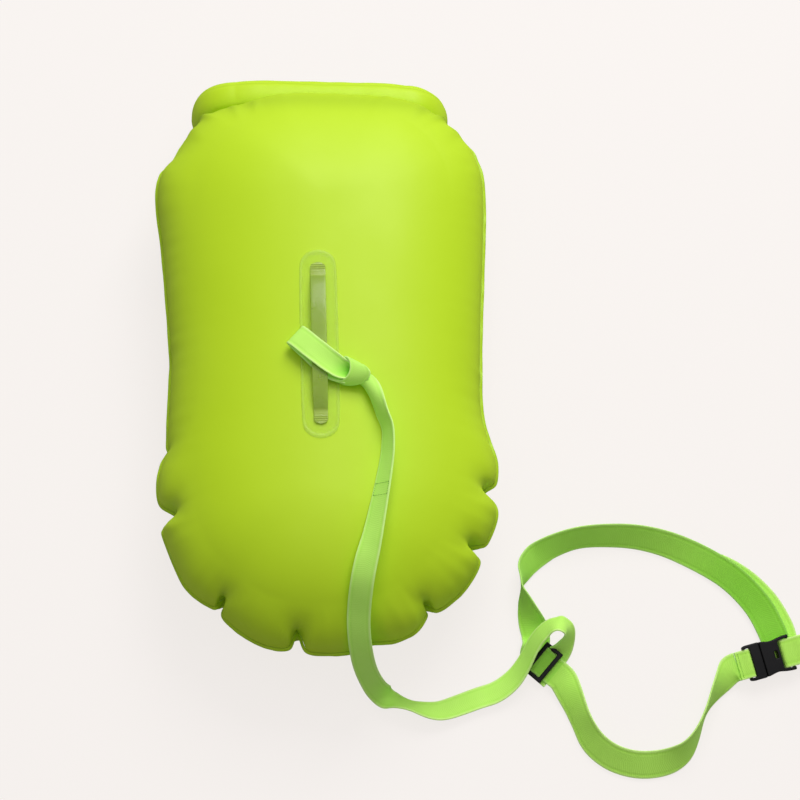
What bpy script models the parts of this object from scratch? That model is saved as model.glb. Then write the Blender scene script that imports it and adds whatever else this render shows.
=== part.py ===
"""Open water swim buoy: two air chambers round a dry compartment, a roll-top mouth,
a clear handle strip, a webbing tether and a waist belt with a side-release buckle.

Metres, +Z up. The buoy lies on its back: the floor is z = 0, the mouth is towards +Y,
and the origin is on the floor below the middle of the inflated bag.
"""
import math

import bmesh
import bpy
import numpy as np
from mathutils import Matrix, Vector
from mathutils.bvhtree import BVHTree

MM = 0.001

# Bag
bag_half_width = 188.0 * MM
bag_half_length = 325.5 * MM
chamber_depth = 82.0 * MM
back_chamber_depth = 84.4 * MM
liner_thickness = 0.6 * MM
fit_gap = 0.3 * MM
weld_width = 4.0 * MM
weld_thickness = 1.2 * MM

# Rolled mouth
roll_half_height = 19.0 * MM
roll_half_thickness = 11.0 * MM
roll_bend_radius = 35.0 * MM
roll_half_run = 93.0 * MM
roll_return = 8.0 * MM
roll_rise_over_seam = 5.0 * MM
roll_middle_x = -11.5 * MM
roll_lean = 0.3
stiffener_half_height = 10.0 * MM
stiffener_thickness = 2.0 * MM
stiffener_clearance = 0.8 * MM
stiffener_overhang = 14.0 * MM

# Clear patch and handle strip
patch_width = 40.0 * MM
patch_length = 208.0 * MM
patch_thickness = 0.8 * MM
patch_middle = (-1.0 * MM, -15.5 * MM)
patch_turn = math.radians(3.0)
handle_width = 16.0 * MM
handle_length = 178.0 * MM
handle_thickness = 1.0 * MM
handle_weld_length = 14.0 * MM
handle_rise = 8.0 * MM

# Webbing
tether_width = 25.0 * MM
belt_width = 30.0 * MM
webbing_thickness = 1.6 * MM
ribbon_step = 8.0 * MM
hitch_middle = (-1.0 * MM, -31.0 * MM)
hitch_heading = math.radians(-42.0)
hitch_left_reach = 26.0 * MM
hitch_right_reach = 36.0 * MM
hitch_lower_lift = 1.2 * MM
hitch_bulge = 4.0 * MM

# Belt slider
slider_middle = (239.0 * MM, -308.0 * MM)
slider_heading = math.radians(-40.0)
slider_tilt = math.radians(12.0)
slider_length = 22.0 * MM
slider_bar = 4.6 * MM
slider_plate = 1.8 * MM
slider_rail = 4.0 * MM
slider_middle_bar = 5.0 * MM
slider_belt_clearance = 0.45 * MM
slider_underside = 3.2 * MM
slider_travel = 8.0 * MM
slider_lead_in = 5.0 * MM
slider_run_out = 1.0 * MM

# Buckle of the belt; the closure buckle is the same design, made smaller
belt_buckle_middle = (474.5 * MM, -299.0 * MM)
belt_buckle_heading = math.radians(17.0)
belt_buckle_tilt = math.radians(12.0)
belt_buckle_underside = 5.6 * MM
belt_buckle_length = 50.0 * MM
belt_buckle_width = 38.0 * MM
belt_buckle_thickness = 11.0 * MM
closure_buckle_length = 44.0 * MM
closure_buckle_width = 27.0 * MM
closure_buckle_thickness = 8.5 * MM
buckle_wall = 1.8 * MM
buckle_bar = 2.6 * MM
buckle_round = 1.0 * MM
sewn_stitch_reach = 9.0 * MM
closure_tab_clearance = 1.2 * MM
adjuster_loop = 9.0 * MM
adjuster_bulge = 2.2 * MM
adjuster_lift = 1.6 * MM
adjuster_tail = 36.0 * MM

# Valves
valve_heading = math.radians(62.0)
valve_depth_share = 0.30
valve_flange_radius = 17.0 * MM
valve_flange_thickness = 1.0 * MM
valve_collar_radius = 10.5 * MM
valve_collar_wall = 2.0 * MM
valve_collar_height = 7.0 * MM
valve_bore_radius = 6.0 * MM
valve_shelf = 0.6 * MM
valve_disc_thickness = 0.6 * MM
valve_seal_thickness = 1.4 * MM
valve_seal_width = 1.6 * MM
valve_knob_radius = 11.5 * MM
valve_knob_thickness = 2.2 * MM
valve_spout_radius = 5.0 * MM
valve_spout_bore = 2.5 * MM
valve_spout_height = 5.0 * MM
valve_grip_thickness = 2.4 * MM
valve_grip_inset = 1.0 * MM

seam_z = back_chamber_depth + fit_gap + liner_thickness / 2.0
cut_overrun = 5.0 * MM
round_steps = 32

# Outline of the weld as seen from the front, clockwise from the right of the mouth.
# Each row is x in shares of the half width, y in shares of the half length, and whether the
# edge turns sharply there, as it does where the inflated edge puckers into a notch.
outline_shares = [
    (0.670, 0.851, True),
    (0.790, 0.787, False),
    (0.862, 0.728, False),
    (0.915, 0.575, False),
    (0.904, 0.070, False),
    (0.912, -0.165, False),
    (0.955, -0.273, False),
    (0.998, -0.350, False),
    (0.993, -0.421, False),
    (0.929, -0.452, True),
    (0.993, -0.492, False),
    (0.998, -0.545, False),
    (0.940, -0.628, False),
    (0.849, -0.641, True),
    (0.909, -0.685, False),
    (0.823, -0.780, False),
    (0.679, -0.851, False),
    (0.605, -0.834, True),
    (0.623, -0.862, False),
    (0.560, -0.920, False),
    (0.443, -0.954, False),
    (0.316, -0.962, True),
    (0.200, -0.992, False),
    (0.066, -1.000, False),
    (-0.040, -0.990, False),
    (-0.088, -0.938, True),
    (-0.120, -0.980, False),
    (-0.210, -0.985, False),
    (-0.344, -0.958, False),
    (-0.504, -0.885, False),
    (-0.492, -0.830, True),
    (-0.555, -0.857, False),
    (-0.719, -0.786, False),
    (-0.846, -0.638, False),
    (-0.784, -0.555, True),
    (-0.880, -0.520, False),
    (-0.904, -0.453, False),
    (-0.885, -0.380, False),
    (-0.850, -0.337, True),
    (-0.862, -0.300, False),
    (-0.864, -0.100, False),
    (-0.875, 0.020, False),
    (-0.945, 0.343, False),
    (-0.9995, 0.540, False),
    (-0.985, 0.640, False),
    (-0.916, 0.692, True),
    (-0.867, 0.754, False),
    (-0.762, 0.848, True),
]
neck_crown_shares = [(-0.60, 0.985), (-0.10, 0.999), (0.50, 0.985)]
outline_steps = 3
buckle_shares = {"plug_end": 0.36, "prong_end": 0.66, "cavity_end": 0.70, "slot_one": 0.75, "bar_two": 0.83}
spine_low_share = -0.507
spine_high_share = 0.461
chamber_rings = 9
chamber_flat_share = 0.08

# Routes of the webbing. Each row is the middle of the strip (x, y), the height of its lower
# edge, and the heading and lean of its width, in millimetres and degrees.
tether_route = [
    (37, -55, 174.0, 52, 4),
    (48, -63, 167.0, 30, 15),
    (58, -74, 165.4, -2, 38),
    (66, -89, 164.4, -14, 50),
    (71, -107, 163.4, -22, 55),
    (72, -128, 163.4, -25, 56),
    (70.5, -147, 163.4, -24, 53),
    (65.5, -181, 163.8, -18, 46),
    (58.5, -222, 161.5, -11, 34),
    (53, -247, 156.0, -7, 20),
    (49, -269, 148.0, -6, 18),
    (46.5, -292, 134.0, -6, 18),
    (47, -310, 119.0, -5, 18),
    (50, -326, 99.0, -4, 16),
    (54, -335, 74.0, 0, 12),
    (60, -341, 46.0, 8, 4),
    (68, -346, 20.0, 24, -12),
    (81, -351, 3.0, 52, -36),
    (99, -356.5, 1.0, 86, -54),
    (116, -360.5, 1.0, 93, -38),
    (132, -361, 1.0, 96, -24),
    (152, -354, 1.0, 97, -16),
    (172, -345.5, 1.0, 98, -15),
    (190, -337.5, 1.6, 101, -22),
    (202, -330, 4.5, 106, -30),
    (212, -322, 9.0, 112, -35),
    (220.5, -308.5, 18.0, 116, -37),
    (227, -296.5, 25.5, 118, -37),
    (234, -286, 32.5, 118, -36),
    (242, -279, 39.5, 116, -35),
    (252.5, -275, 43.5, 112, -33),
    (261.5, -277.5, 37.0, 110, -30),
    (265.5, -282.5, 28.0, 112, -22),
    (265, -286.5, 16.5, 117, -14),
    (261, -291.5, 5.6, 124, -7),
    (253, -299, 2.4, 134, -3),
    (246.5, -306, 1.4, 140, -2),
    (238.5, -315, 1.0, 140, 0),
    (230, -325, 1.0, 140, 0),
    (224.5, -332, 1.0, 138, 0),
]
belt_far_route = [
    (487, -288, 0.8, 17, 0),
    (481, -270, 1.0, 30, 8),
    (466, -241.5, 1.0, 60, 17),
    (441, -214, 1.0, 79, 19),
    (411, -193.5, 1.0, 90, 24),
    (376, -178, 1.0, 97, 35),
    (343, -170, 1.0, 98, 44),
    (311, -168.5, 1.0, 98, 50),
    (276, -172, 1.0, 96, 55),
    (246, -183, 1.0, 103, 48),
    (226, -197, 1.0, 106, 32),
    (217.5, -213, 1.0, 108, 36),
    (215, -228, 1.0, 95, 64),
    (217, -241, 1.2, 20, 74),
    (221.5, -254, 1.6, 12, 56),
    (223.5, -269, 2.4, 28, 34),
    (222.5, -283, 4.4, 42, 18),
    (223.8, -291.5, 5.2, 47, 14),
]
belt_near_route = [
    (264, -333.5, 3.6, 34, 22),
    (270.5, -350, 1.4, 18, 42),
    (279, -371, 1.0, 16, 50),
    (291, -392, 1.0, 28, 48),
    (310, -406.5, 1.0, 56, 45),
    (332, -413, 1.0, 77, 39),
    (352, -413, 1.0, 94, 37),
    (371, -408.5, 1.0, 108, 46),
    (387, -398, 1.0, 120, 58),
    (398, -381, 1.0, 128, 74),
    (407, -358, 1.0, 134, 84),
    (415.5, -341, 1.4, 128, 70),
    (424, -327.5, 2.4, 118, 48),
    (430.5, -318, 4.2, 112, 28),
]


def clear_scene():
    for old in list(bpy.data.objects):
        bpy.data.objects.remove(old, do_unlink=True)


def material(name, colour, roughness, alpha=1.0, transmission=0.0):
    made = bpy.data.materials.new(name)
    made.use_nodes = True
    shader = made.node_tree.nodes["Principled BSDF"]
    shader.inputs["Base Color"].default_value = (*colour, 1.0)
    shader.inputs["Roughness"].default_value = roughness
    shader.inputs["Metallic"].default_value = 0.0
    shader.inputs["Alpha"].default_value = alpha
    shader.inputs["Transmission Weight"].default_value = transmission
    return made


def add_mesh(name, vertices, faces, finish, smooth=False, frame=None):
    mesh = bpy.data.meshes.new(name)
    mesh.from_pydata([tuple(map(float, point)) for point in vertices], [], faces)
    work = bmesh.new()
    work.from_mesh(mesh)
    bmesh.ops.recalc_face_normals(work, faces=work.faces)
    work.to_mesh(mesh)
    work.free()
    if smooth:
        mesh.shade_smooth()
        mesh.set_sharp_from_angle(angle=math.radians(40.0))
    made = bpy.data.objects.new(name, mesh)
    bpy.context.collection.objects.link(made)
    if finish is not None:
        mesh.materials.append(finish)
    if frame is not None:
        made.parent = frame
    return made


def grid_faces(rows, columns, close_columns=False, close_rows=False):
    """Quads of a grid of vertices, row after row."""
    faces = []
    for row in range(rows if close_rows else rows - 1):
        after = (row + 1) % rows
        for column in range(columns if close_columns else columns - 1):
            beside = (column + 1) % columns
            faces.append((row * columns + column, row * columns + beside,
                          after * columns + beside, after * columns + column))
    return faces


def block(name, low, high, finish, frame, bevel=0.0):
    """A box between two corners in the frame's own axes, its edges rounded by bevel."""
    corners = [(x, y, z) for x in (low[0], high[0]) for y in (low[1], high[1]) for z in (low[2], high[2])]
    faces = [(0, 1, 3, 2), (4, 6, 7, 5), (0, 4, 5, 1), (2, 3, 7, 6), (0, 2, 6, 4), (1, 5, 7, 3)]
    made = add_mesh(name, corners, faces, finish, frame=frame)
    if bevel > 0.0:
        rounding = made.modifiers.new("Rounded edges", "BEVEL")
        rounding.width = bevel
        rounding.segments = 2
    return made


def as_helper(made):
    made.hide_render = True
    made.display_type = "WIRE"
    return made


def cut(body, cutter, operation="DIFFERENCE"):
    change = body.modifiers.new(cutter.name, "BOOLEAN")
    change.operation = operation
    change.solver = "EXACT"
    change.object = as_helper(cutter)


def frame_at(name, middle, along, across):
    """An empty whose X runs along, Y across and Z out of the face."""
    along = Vector(along).normalized()
    across = (Vector(across) - Vector(across).dot(along) * along).normalized()
    out = along.cross(across)
    empty = bpy.data.objects.new(name, None)
    bpy.context.collection.objects.link(empty)
    turn = Matrix((along, across, out)).transposed().to_4x4()
    empty.matrix_world = Matrix.Translation(Vector(middle)) @ turn
    return empty


def lathe(name, profile, finish, frame):
    """A closed profile of (radius, height) turned about the frame's Z axis."""
    angles = np.linspace(0.0, 2.0 * math.pi, round_steps, endpoint=False)
    on_axis = min(radius for radius, _ in profile) == 0.0
    if not on_axis:
        vertices = [(r * math.cos(a), r * math.sin(a), h) for a in angles for r, h in profile]
        faces = grid_faces(round_steps, len(profile), close_columns=True, close_rows=True)
        return add_mesh(name, vertices, faces, finish, smooth=True, frame=frame)
    ring = [(r, h) for r, h in profile if r > 0.0]
    ends = [h for r, h in profile if r == 0.0]
    vertices = [(r * math.cos(a), r * math.sin(a), h) for a in angles for r, h in ring]
    faces = grid_faces(round_steps, len(ring), close_rows=True)
    first = len(vertices)
    vertices += [(0.0, 0.0, ends[0]), (0.0, 0.0, ends[1])]
    for step in range(round_steps):
        after = (step + 1) % round_steps
        faces.append((step * len(ring), after * len(ring), first))
        faces.append((after * len(ring) + len(ring) - 1, step * len(ring) + len(ring) - 1, first + 1))
    return add_mesh(name, vertices, faces, finish, smooth=True, frame=frame)


def smooth_route(rows, step, closed=False):
    """Points of a Catmull-Rom curve through the rows, about one step apart."""
    rows = np.asarray(rows, float)
    if closed:
        padded = np.vstack([rows[-1:], rows, rows[:2]])
    else:
        padded = np.vstack([2 * rows[0] - rows[1], rows, 2 * rows[-1] - rows[-2]])
    points = []
    for index in range(len(padded) - 3):
        before, start, end, after = padded[index:index + 4]
        count = max(1, int(round(np.linalg.norm((end - start)[:3]) / step)))
        for t in np.arange(count) / count:
            points.append(0.5 * (2 * start + (end - before) * t
                                 + (2 * before - 5 * start + 4 * end - after) * t ** 2
                                 + (3 * start - before - 3 * end + after) * t ** 3))
    if not closed:
        points.append(padded[-2])
    return np.array(points)


def square_frames(middles, widths, closed=False):
    """Width and face directions square to the middles' line, nearest to the widths given."""
    if closed:
        tangents = np.roll(middles, -1, axis=0) - np.roll(middles, 1, axis=0)
    else:
        tangents = np.gradient(middles, axis=0)
    tangents /= np.linalg.norm(tangents, axis=1)[:, None]
    across = np.asarray(widths, float)
    across = across - (across * tangents).sum(1)[:, None] * tangents
    across /= np.linalg.norm(across, axis=1)[:, None]
    return across, np.cross(tangents, across)


def ribbon(name, middles, widths, width, finish, thickness=webbing_thickness, closed=False, frame=None):
    """A flat strip: a rectangle carried along the middles, its width along the given directions."""
    middles = np.asarray(middles, float)
    across, out = square_frames(middles, widths, closed)
    corners = [middles + side * across * width / 2.0 + face * out * thickness / 2.0
               for side, face in ((-1, -1), (1, -1), (1, 1), (-1, 1))]
    vertices = np.stack(corners, axis=1).reshape(-1, 3)
    count = len(middles)
    faces = grid_faces(count, 4, close_columns=True, close_rows=closed)
    if not closed:
        faces += [(3, 2, 1, 0), tuple(4 * (count - 1) + corner for corner in range(4))]
    return add_mesh(name, vertices, faces, finish, smooth=True, frame=frame)


def width_directions(headings, leans):
    return np.stack([np.cos(leans) * np.cos(headings), np.cos(leans) * np.sin(headings), np.sin(leans)], axis=1)


def laid_strip(route, width):
    """Middles and width directions of a strip whose lower edge keeps the route's heights."""
    rows = np.array(route, float) * MM
    rows[:, 3:] = np.radians(rows[:, 3:] / MM)
    turns = width_directions(rows[:, 3], rows[:, 4])
    curve = smooth_route(np.hstack([rows[:, :3], turns]), ribbon_step)
    directions = curve[:, 3:] / np.linalg.norm(curve[:, 3:], axis=1)[:, None]
    middles = curve[:, :3].copy()
    for _ in range(3):
        across, out = square_frames(middles, directions)
        half = np.abs(across[:, 2]) * width / 2.0 + np.abs(out[:, 2]) * webbing_thickness / 2.0
        middles[:, 2] = curve[:, 2] + half
    return middles, across


def closed_outline():
    """The weld's outer edge, smooth between its sharp points, with the mouth's crown on top."""
    neck_y = roll_axis_y() - roll_chord() - fit_gap
    crown = [(x * bag_half_width, y * neck_y, False) for x, y in neck_crown_shares]
    rows = [(x * bag_half_width, y * bag_half_length, sharp) for x, y, sharp in outline_shares] + crown
    count = len(rows)
    points = []
    for index in range(count):
        start, end = np.array(rows[index][:2]), np.array(rows[(index + 1) % count][:2])
        before, after = np.array(rows[index - 1][:2]), np.array(rows[(index + 2) % count][:2])
        if rows[index][2]:
            before = 2 * start - end
        if rows[(index + 1) % count][2]:
            after = 2 * end - start
        for t in np.arange(outline_steps) / outline_steps:
            points.append(0.5 * (2 * start + (end - before) * t
                                 + (2 * before - 5 * start + 4 * end - after) * t ** 2
                                 + (3 * start - before - 3 * end + after) * t ** 3))
    return np.array(points)


def inset(points, distance):
    """The clockwise outline moved inwards, each corner along the line that halves it."""
    edges = np.roll(points, -1, axis=0) - points
    edges /= np.linalg.norm(edges, axis=1)[:, None]
    normals = np.stack([edges[:, 1], -edges[:, 0]], axis=1)
    before = np.roll(normals, 1, axis=0)
    middle = normals + before
    middle /= np.linalg.norm(middle, axis=1)[:, None]
    reach = np.clip((middle * normals).sum(1), 0.6, 1.0)
    return points + middle * (distance / reach)[:, None]


def roll_axis_y():
    return bag_half_length - roll_half_height


def roll_chord():
    """Half the roll's height, measured where the weld meets it below the roll's axis."""
    drop = (roll_rise_over_seam - weld_thickness / 2.0) / roll_half_thickness
    return roll_half_height * math.sqrt(1.0 - min(drop, 0.9) ** 2)


def spine_of(points):
    low, high = spine_low_share * bag_half_length, spine_high_share * bag_half_length
    return np.stack([np.zeros(len(points)), np.clip(points[:, 1], low, high)], axis=1)


def chamber(name, edge, depth, side, finish):
    """Half a pillow: rings drawn in from the welded edge to the spine, on a quarter ellipse."""
    base = seam_z + side * (liner_thickness / 2.0 + fit_gap)
    spine = spine_of(edge)
    last = math.acos(chamber_flat_share)
    vertices = []
    for ring in range(chamber_rings):
        angle = last * ring / (chamber_rings - 1)
        flat = spine + (edge - spine) * math.cos(angle)
        rise = depth * math.sin(angle) / math.sin(last)
        vertices += [(x, y, base + side * rise) for x, y in flat]
    count = len(edge)
    faces = grid_faces(chamber_rings, count, close_columns=True)
    faces.append(tuple(range(count)))
    faces.append(tuple((chamber_rings - 1) * count + index for index in reversed(range(count))))
    return add_mesh(name, vertices, faces, finish, smooth=True)


def front_height(edge, x, y):
    """Height of the front chamber's surface over a point beside the spine."""
    sides = edge[edge[:, 0] > 0.0] if x > 0.0 else edge[edge[:, 0] <= 0.0]
    order = np.argsort(sides[:, 1])
    reach = abs(np.interp(y, sides[order, 1], sides[order, 0]))
    share = min(abs(x) / reach, 1.0)
    top = chamber_depth / math.sin(math.acos(chamber_flat_share))
    rise = min(top * math.sqrt(1.0 - share ** 2), chamber_depth)
    return seam_z + liner_thickness / 2.0 + fit_gap + rise


def build_bag(finish):
    outline = closed_outline()
    edge = inset(outline, weld_width)
    chamber("front_air_chamber", edge, chamber_depth, 1.0, finish["coated_fabric"])
    chamber("back_air_chamber", edge, back_chamber_depth, -1.0, finish["coated_fabric"])
    count = len(outline)
    rim_inner = inset(outline, weld_width - fit_gap)
    half = weld_thickness / 2.0
    loops = [(outline, half), (rim_inner, half), (rim_inner, -half), (outline, -half)]
    vertices = [(x, y, seam_z + z) for points, z in loops for x, y in points]
    add_mesh("welded_rim", vertices, grid_faces(4, count, close_columns=True, close_rows=True),
             finish["weld"], smooth=False)
    half = liner_thickness / 2.0
    vertices = [(x, y, seam_z + z) for z in (half, -half) for x, y in edge]
    faces = grid_faces(2, count, close_columns=True)
    faces += [tuple(range(count)), tuple(count + index for index in reversed(range(count)))]
    add_mesh("dry_compartment_liner", vertices, faces, finish["liner"])
    return edge


def roll_back():
    """Height of the U's back run and its place along the bag, which leans over the back chamber."""
    drop = 2.0 * roll_bend_radius
    return seam_z + roll_rise_over_seam - drop, roll_axis_y() - drop * roll_lean


def mouth_path(extra):
    """The U of the rolled mouth from its back left end to its back right end."""
    top = seam_z + roll_rise_over_seam
    back = top - 2.0 * roll_bend_radius
    left, right = roll_middle_x - roll_half_run, roll_middle_x + roll_half_run
    arc = np.linspace(0.0, math.pi, 17)
    points = [(left + roll_return + extra, back)]
    for side, end in ((-1.0, left), (1.0, right)):
        for angle in arc:
            points.append((end + side * math.sin(angle) * roll_bend_radius,
                           top - roll_bend_radius * (1.0 - side * math.cos(angle))))
    points.append((right - roll_return - extra, back))
    x, z = np.array(points).T
    return np.stack([x, roll_axis_y() - (top - z) * roll_lean, z], axis=1)


def build_mouth(finish):
    points = mouth_path(0.0)
    across, out = square_frames(points, np.tile((0.0, 1.0, 0.0), (len(points), 1)))
    angles = np.linspace(0.0, 2.0 * math.pi, 16, endpoint=False)
    outer = [(roll_half_height * math.cos(a), roll_half_thickness * math.sin(a)) for a in angles]
    slot_y = stiffener_half_height + stiffener_clearance
    slot_n = stiffener_thickness / 2.0 + stiffener_clearance
    inner = [(slot_y * np.sign(math.cos(a)) * abs(math.cos(a)) ** 0.3,
              slot_n * np.sign(math.sin(a)) * abs(math.sin(a)) ** 0.3) for a in angles]
    vertices = []
    for section in (outer, inner):
        for point, width, face in zip(points, across, out):
            vertices += [point + width * y + face * n for y, n in section]
    stations, sides = len(points), len(angles)
    outside = grid_faces(stations, sides, close_columns=True)
    shift = stations * sides
    inside = [tuple(shift + index for index in reversed(face)) for face in outside]
    ends = []
    for side in range(sides):
        beside = (side + 1) % sides
        last = (stations - 1) * sides
        ends.append((side, beside, shift + beside, shift + side))
        ends.append((last + beside, last + side, shift + last + side, shift + last + beside))
    add_mesh("roll_top", vertices, outside + inside + ends, finish["coated_fabric"], smooth=True)
    points = mouth_path(stiffener_overhang)
    ribbon("mouth_stiffener", points, np.tile((0.0, 1.0, 0.0), (len(points), 1)),
           2.0 * stiffener_half_height, finish["black_plastic"], thickness=stiffener_thickness)


def bar_wrap_gap():
    """Room inside a strip folded round a square bar, which its corners set."""
    return buckle_bar * math.sqrt(2.0) + 2.0 * fit_gap


def hairpin(start, bend, gap, sewn_gap, sewn_length, steps=8):
    """A strip's middle line along X: out on one face, round a bar at bend, back on the other.

    Its two layers lie sewn_gap apart over the sewn length, and gap apart at the bar.
    """
    radius = (gap + webbing_thickness) / 2.0
    sewn = (sewn_gap + webbing_thickness) / 2.0
    towards = 1.0 if bend > start else -1.0
    sewn_end = start + towards * sewn_length
    line = [(start, sewn), (sewn_end, sewn)]
    for angle in np.linspace(0.0, math.pi, steps + 1):
        line.append((bend + towards * radius * math.sin(angle), radius * math.cos(angle)))
    line += [(sewn_end, -sewn), (start, -sewn)]
    return line


def build_closure_tab(name, side, bar_reach, finish):
    """Webbing sewn over the stiffener's end and folded round the closure buckle's bar."""
    back_z, back_y = roll_back()
    stiffener_end = side * (roll_half_run - roll_return - stiffener_overhang)
    start = stiffener_end + side * (stiffener_overhang - closure_tab_clearance)
    line = hairpin(start, side * bar_reach, bar_wrap_gap(), stiffener_thickness + 2.0 * fit_gap, stiffener_overhang)
    middles = [(roll_middle_x + x, back_y, back_z + z) for x, z in line]
    ribbon(name, middles, np.tile((0.0, 1.0, 0.0), (len(middles), 1)),
           2.0 * stiffener_half_height, finish["tether_webbing"])


def buckle_stations(length):
    """Where the plug, prongs, cavity and ladder bars end along the buckle, from its middle."""
    shares = {key: share * length - length / 2.0 for key, share in buckle_shares.items()}
    shares["slot_two"] = shares["bar_two"] + buckle_bar
    shares["end_bar"] = length / 2.0 - buckle_bar
    return shares


def build_buckle(name, frame, length, width, thickness, webbing, finish):
    """A side-release buckle along the frame's X, its plug at the low end, its middle at the origin."""
    at = buckle_stations(length)
    low, high = -length / 2.0, length / 2.0
    half_w, half_t = width / 2.0, thickness / 2.0
    plug_t = half_t - buckle_wall / 2.0
    slot_half = webbing / 2.0 + 2.0 * fit_gap
    bar_half = buckle_bar / 2.0
    slot_end = low + buckle_bar + 2.2 * (webbing_thickness + 2.0 * fit_gap)
    plug = block(name + "_plug", (low, -half_w, -plug_t), (at["plug_end"], half_w, plug_t), finish, frame, buckle_round)
    for label, heights in (("over", (bar_half, half_t + cut_overrun)), ("under", (-half_t - cut_overrun, -bar_half))):
        cut(plug, block(name + "_bar_" + label, (low - cut_overrun, -slot_half, heights[0]),
                        (slot_end, slot_half, heights[1]), None, frame))
    cut(plug, block(name + "_bar_slot", (low + buckle_bar, -slot_half, -half_t),
                    (slot_end, slot_half, half_t), None, frame))
    guide_half = width / 14.0
    inner_w, inner_t = half_w - buckle_wall, half_t - buckle_wall
    prong_t = inner_t - 2.0 * fit_gap
    root, tip = at["plug_end"] + fit_gap, at["prong_end"]
    latch = root + 0.5 * (tip - root)
    catch = inner_w + buckle_wall - fit_gap
    half_outline = [(root, half_w * 0.60), (latch - buckle_wall / 2.0, half_w * 0.68), (latch, catch),
                    (latch + buckle_wall, catch), (tip - buckle_wall, inner_w - 2.0 * fit_gap),
                    (tip, half_w * 0.66), (tip - buckle_wall, half_w * 0.52), (root + buckle_bar, half_w * 0.42),
                    (root + buckle_bar, guide_half), (tip - buckle_wall * 2.0, guide_half)]
    arm = half_outline + [(u, -v) for u, v in reversed(half_outline)]
    count = len(arm)
    vertices = [(u, v, w) for w in (-prong_t, prong_t) for u, v in arm]
    faces = [tuple(range(count)), tuple(count + index for index in reversed(range(count)))]
    faces += grid_faces(2, count, close_columns=True)
    add_mesh(name + "_prongs", vertices, faces, finish, frame=frame)
    mouth = at["plug_end"] + fit_gap
    socket = block(name + "_socket", (mouth, -half_w, -half_t), (high, half_w, half_t), finish, frame, buckle_round)
    cut(socket, block(name + "_cavity", (mouth - cut_overrun, -inner_w, -inner_t),
                      (at["cavity_end"], inner_w, inner_t), None, frame))
    for side in (-1.0, 1.0):
        sides = sorted((side * (inner_w - buckle_wall), side * (half_w + cut_overrun)))
        cut(socket, block(name + "_window_" + ("left" if side < 0 else "right"),
                          (latch - buckle_wall, sides[0], -inner_t),
                          (at["cavity_end"] - buckle_wall, sides[1], inner_t), None, frame))
    cut(socket, block(name + "_view_hole", (at["prong_end"] - buckle_wall, -guide_half, -half_t - cut_overrun),
                      (at["cavity_end"] - fit_gap, guide_half * 2.0, half_t + cut_overrun), None, frame))
    for label, start, end in (("one", at["slot_one"], at["bar_two"]), ("two", at["slot_two"], at["end_bar"])):
        cut(socket, block(name + "_slot_" + label, (start, -slot_half, -half_t - cut_overrun),
                          (end, slot_half, half_t + cut_overrun), None, frame))
    for label, heights in (("over", (bar_half, half_t + cut_overrun)), ("under", (-half_t - cut_overrun, -bar_half))):
        cut(socket, block(name + "_ladder_" + label, (at["slot_one"], -slot_half, heights[0]),
                          (high + cut_overrun, slot_half, heights[1]), None, frame))


def build_closure(finish):
    back_z, back_y = roll_back()
    frame = frame_at("closure_buckle_frame", (roll_middle_x, back_y, back_z), (1, 0, 0), (0, 1, 0))
    build_buckle("closure_buckle", frame, closure_buckle_length, closure_buckle_width, closure_buckle_thickness,
                 2.0 * stiffener_half_height, finish["black_plastic"])
    plug_bar = closure_buckle_length / 2.0 - buckle_bar / 2.0
    ladder = buckle_stations(closure_buckle_length)
    ladder_bar = (ladder["bar_two"] + ladder["slot_two"]) / 2.0
    build_closure_tab("closure_tab_left", -1.0, plug_bar, finish)
    build_closure_tab("closure_tab_right", 1.0, ladder_bar, finish)


def patch_point(along, across):
    """A place on the patch, from its middle, as x and y of the part."""
    c, s = math.cos(patch_turn), math.sin(patch_turn)
    return patch_middle[0] + across * c - along * s, patch_middle[1] + along * c + across * s


def build_patch(edge, finish):
    """The oval patch: rows across it that follow the chamber's crown."""
    half_l, half_w = patch_length / 2.0, patch_width / 2.0
    columns = np.linspace(-1.0, 1.0, 9)
    ends = half_w * (1.0 - np.cos(np.radians((18.0, 36.0, 54.0, 72.0))))
    rows = np.concatenate([-half_l + ends, np.linspace(-half_l + half_w, half_l - half_w, 14), (half_l - ends)[::-1]])
    tops, bottoms = [], []
    for along in rows:
        beyond = max(0.0, abs(along) - (half_l - half_w))
        reach = math.sqrt(max(half_w ** 2 - beyond ** 2, 0.0))
        for column in columns:
            x, y = patch_point(along, column * reach)
            z = front_height(edge, x, y) + fit_gap
            tops.append((x, y, z + patch_thickness))
            bottoms.append((x, y, z))
    size = len(tops)
    upper = grid_faces(len(rows), len(columns))
    lower = [tuple(size + index for index in reversed(face)) for face in upper]
    wide, tall = len(columns), len(rows)
    border = [row * wide for row in range(tall)] + [(tall - 1) * wide + column for column in range(1, wide)]
    border += [row * wide + wide - 1 for row in range(tall - 2, -1, -1)] + list(range(wide - 2, 0, -1))
    sides = [(border[index], border[(index + 1) % len(border)], size + border[(index + 1) % len(border)],
              size + border[index]) for index in range(len(border))]
    add_mesh("handle_patch", tops + bottoms, upper + lower + sides, finish["clear_film"], smooth=True)


def patch_top():
    return seam_z + liner_thickness / 2.0 + chamber_depth + 2.0 * fit_gap + patch_thickness


def build_handle(finish):
    """The clear strip: welded flat at both ends and arched between them."""
    free = handle_length / 2.0 - handle_weld_length
    along = np.concatenate([[-handle_length / 2.0], np.linspace(-free, free, 27), [handle_length / 2.0]])
    rise = handle_rise * (1.0 - np.minimum(np.abs(along) / free, 1.0) ** 4)
    seat = patch_top() + fit_gap + handle_thickness / 2.0
    middles = [(*patch_point(a, 0.0), seat + r) for a, r in zip(along, rise)]
    direction = (math.cos(patch_turn), math.sin(patch_turn), 0.0)
    ribbon("handle_strip", middles, np.tile(direction, (len(middles), 1)), handle_width,
           finish["clear_film"], thickness=handle_thickness)


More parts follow.
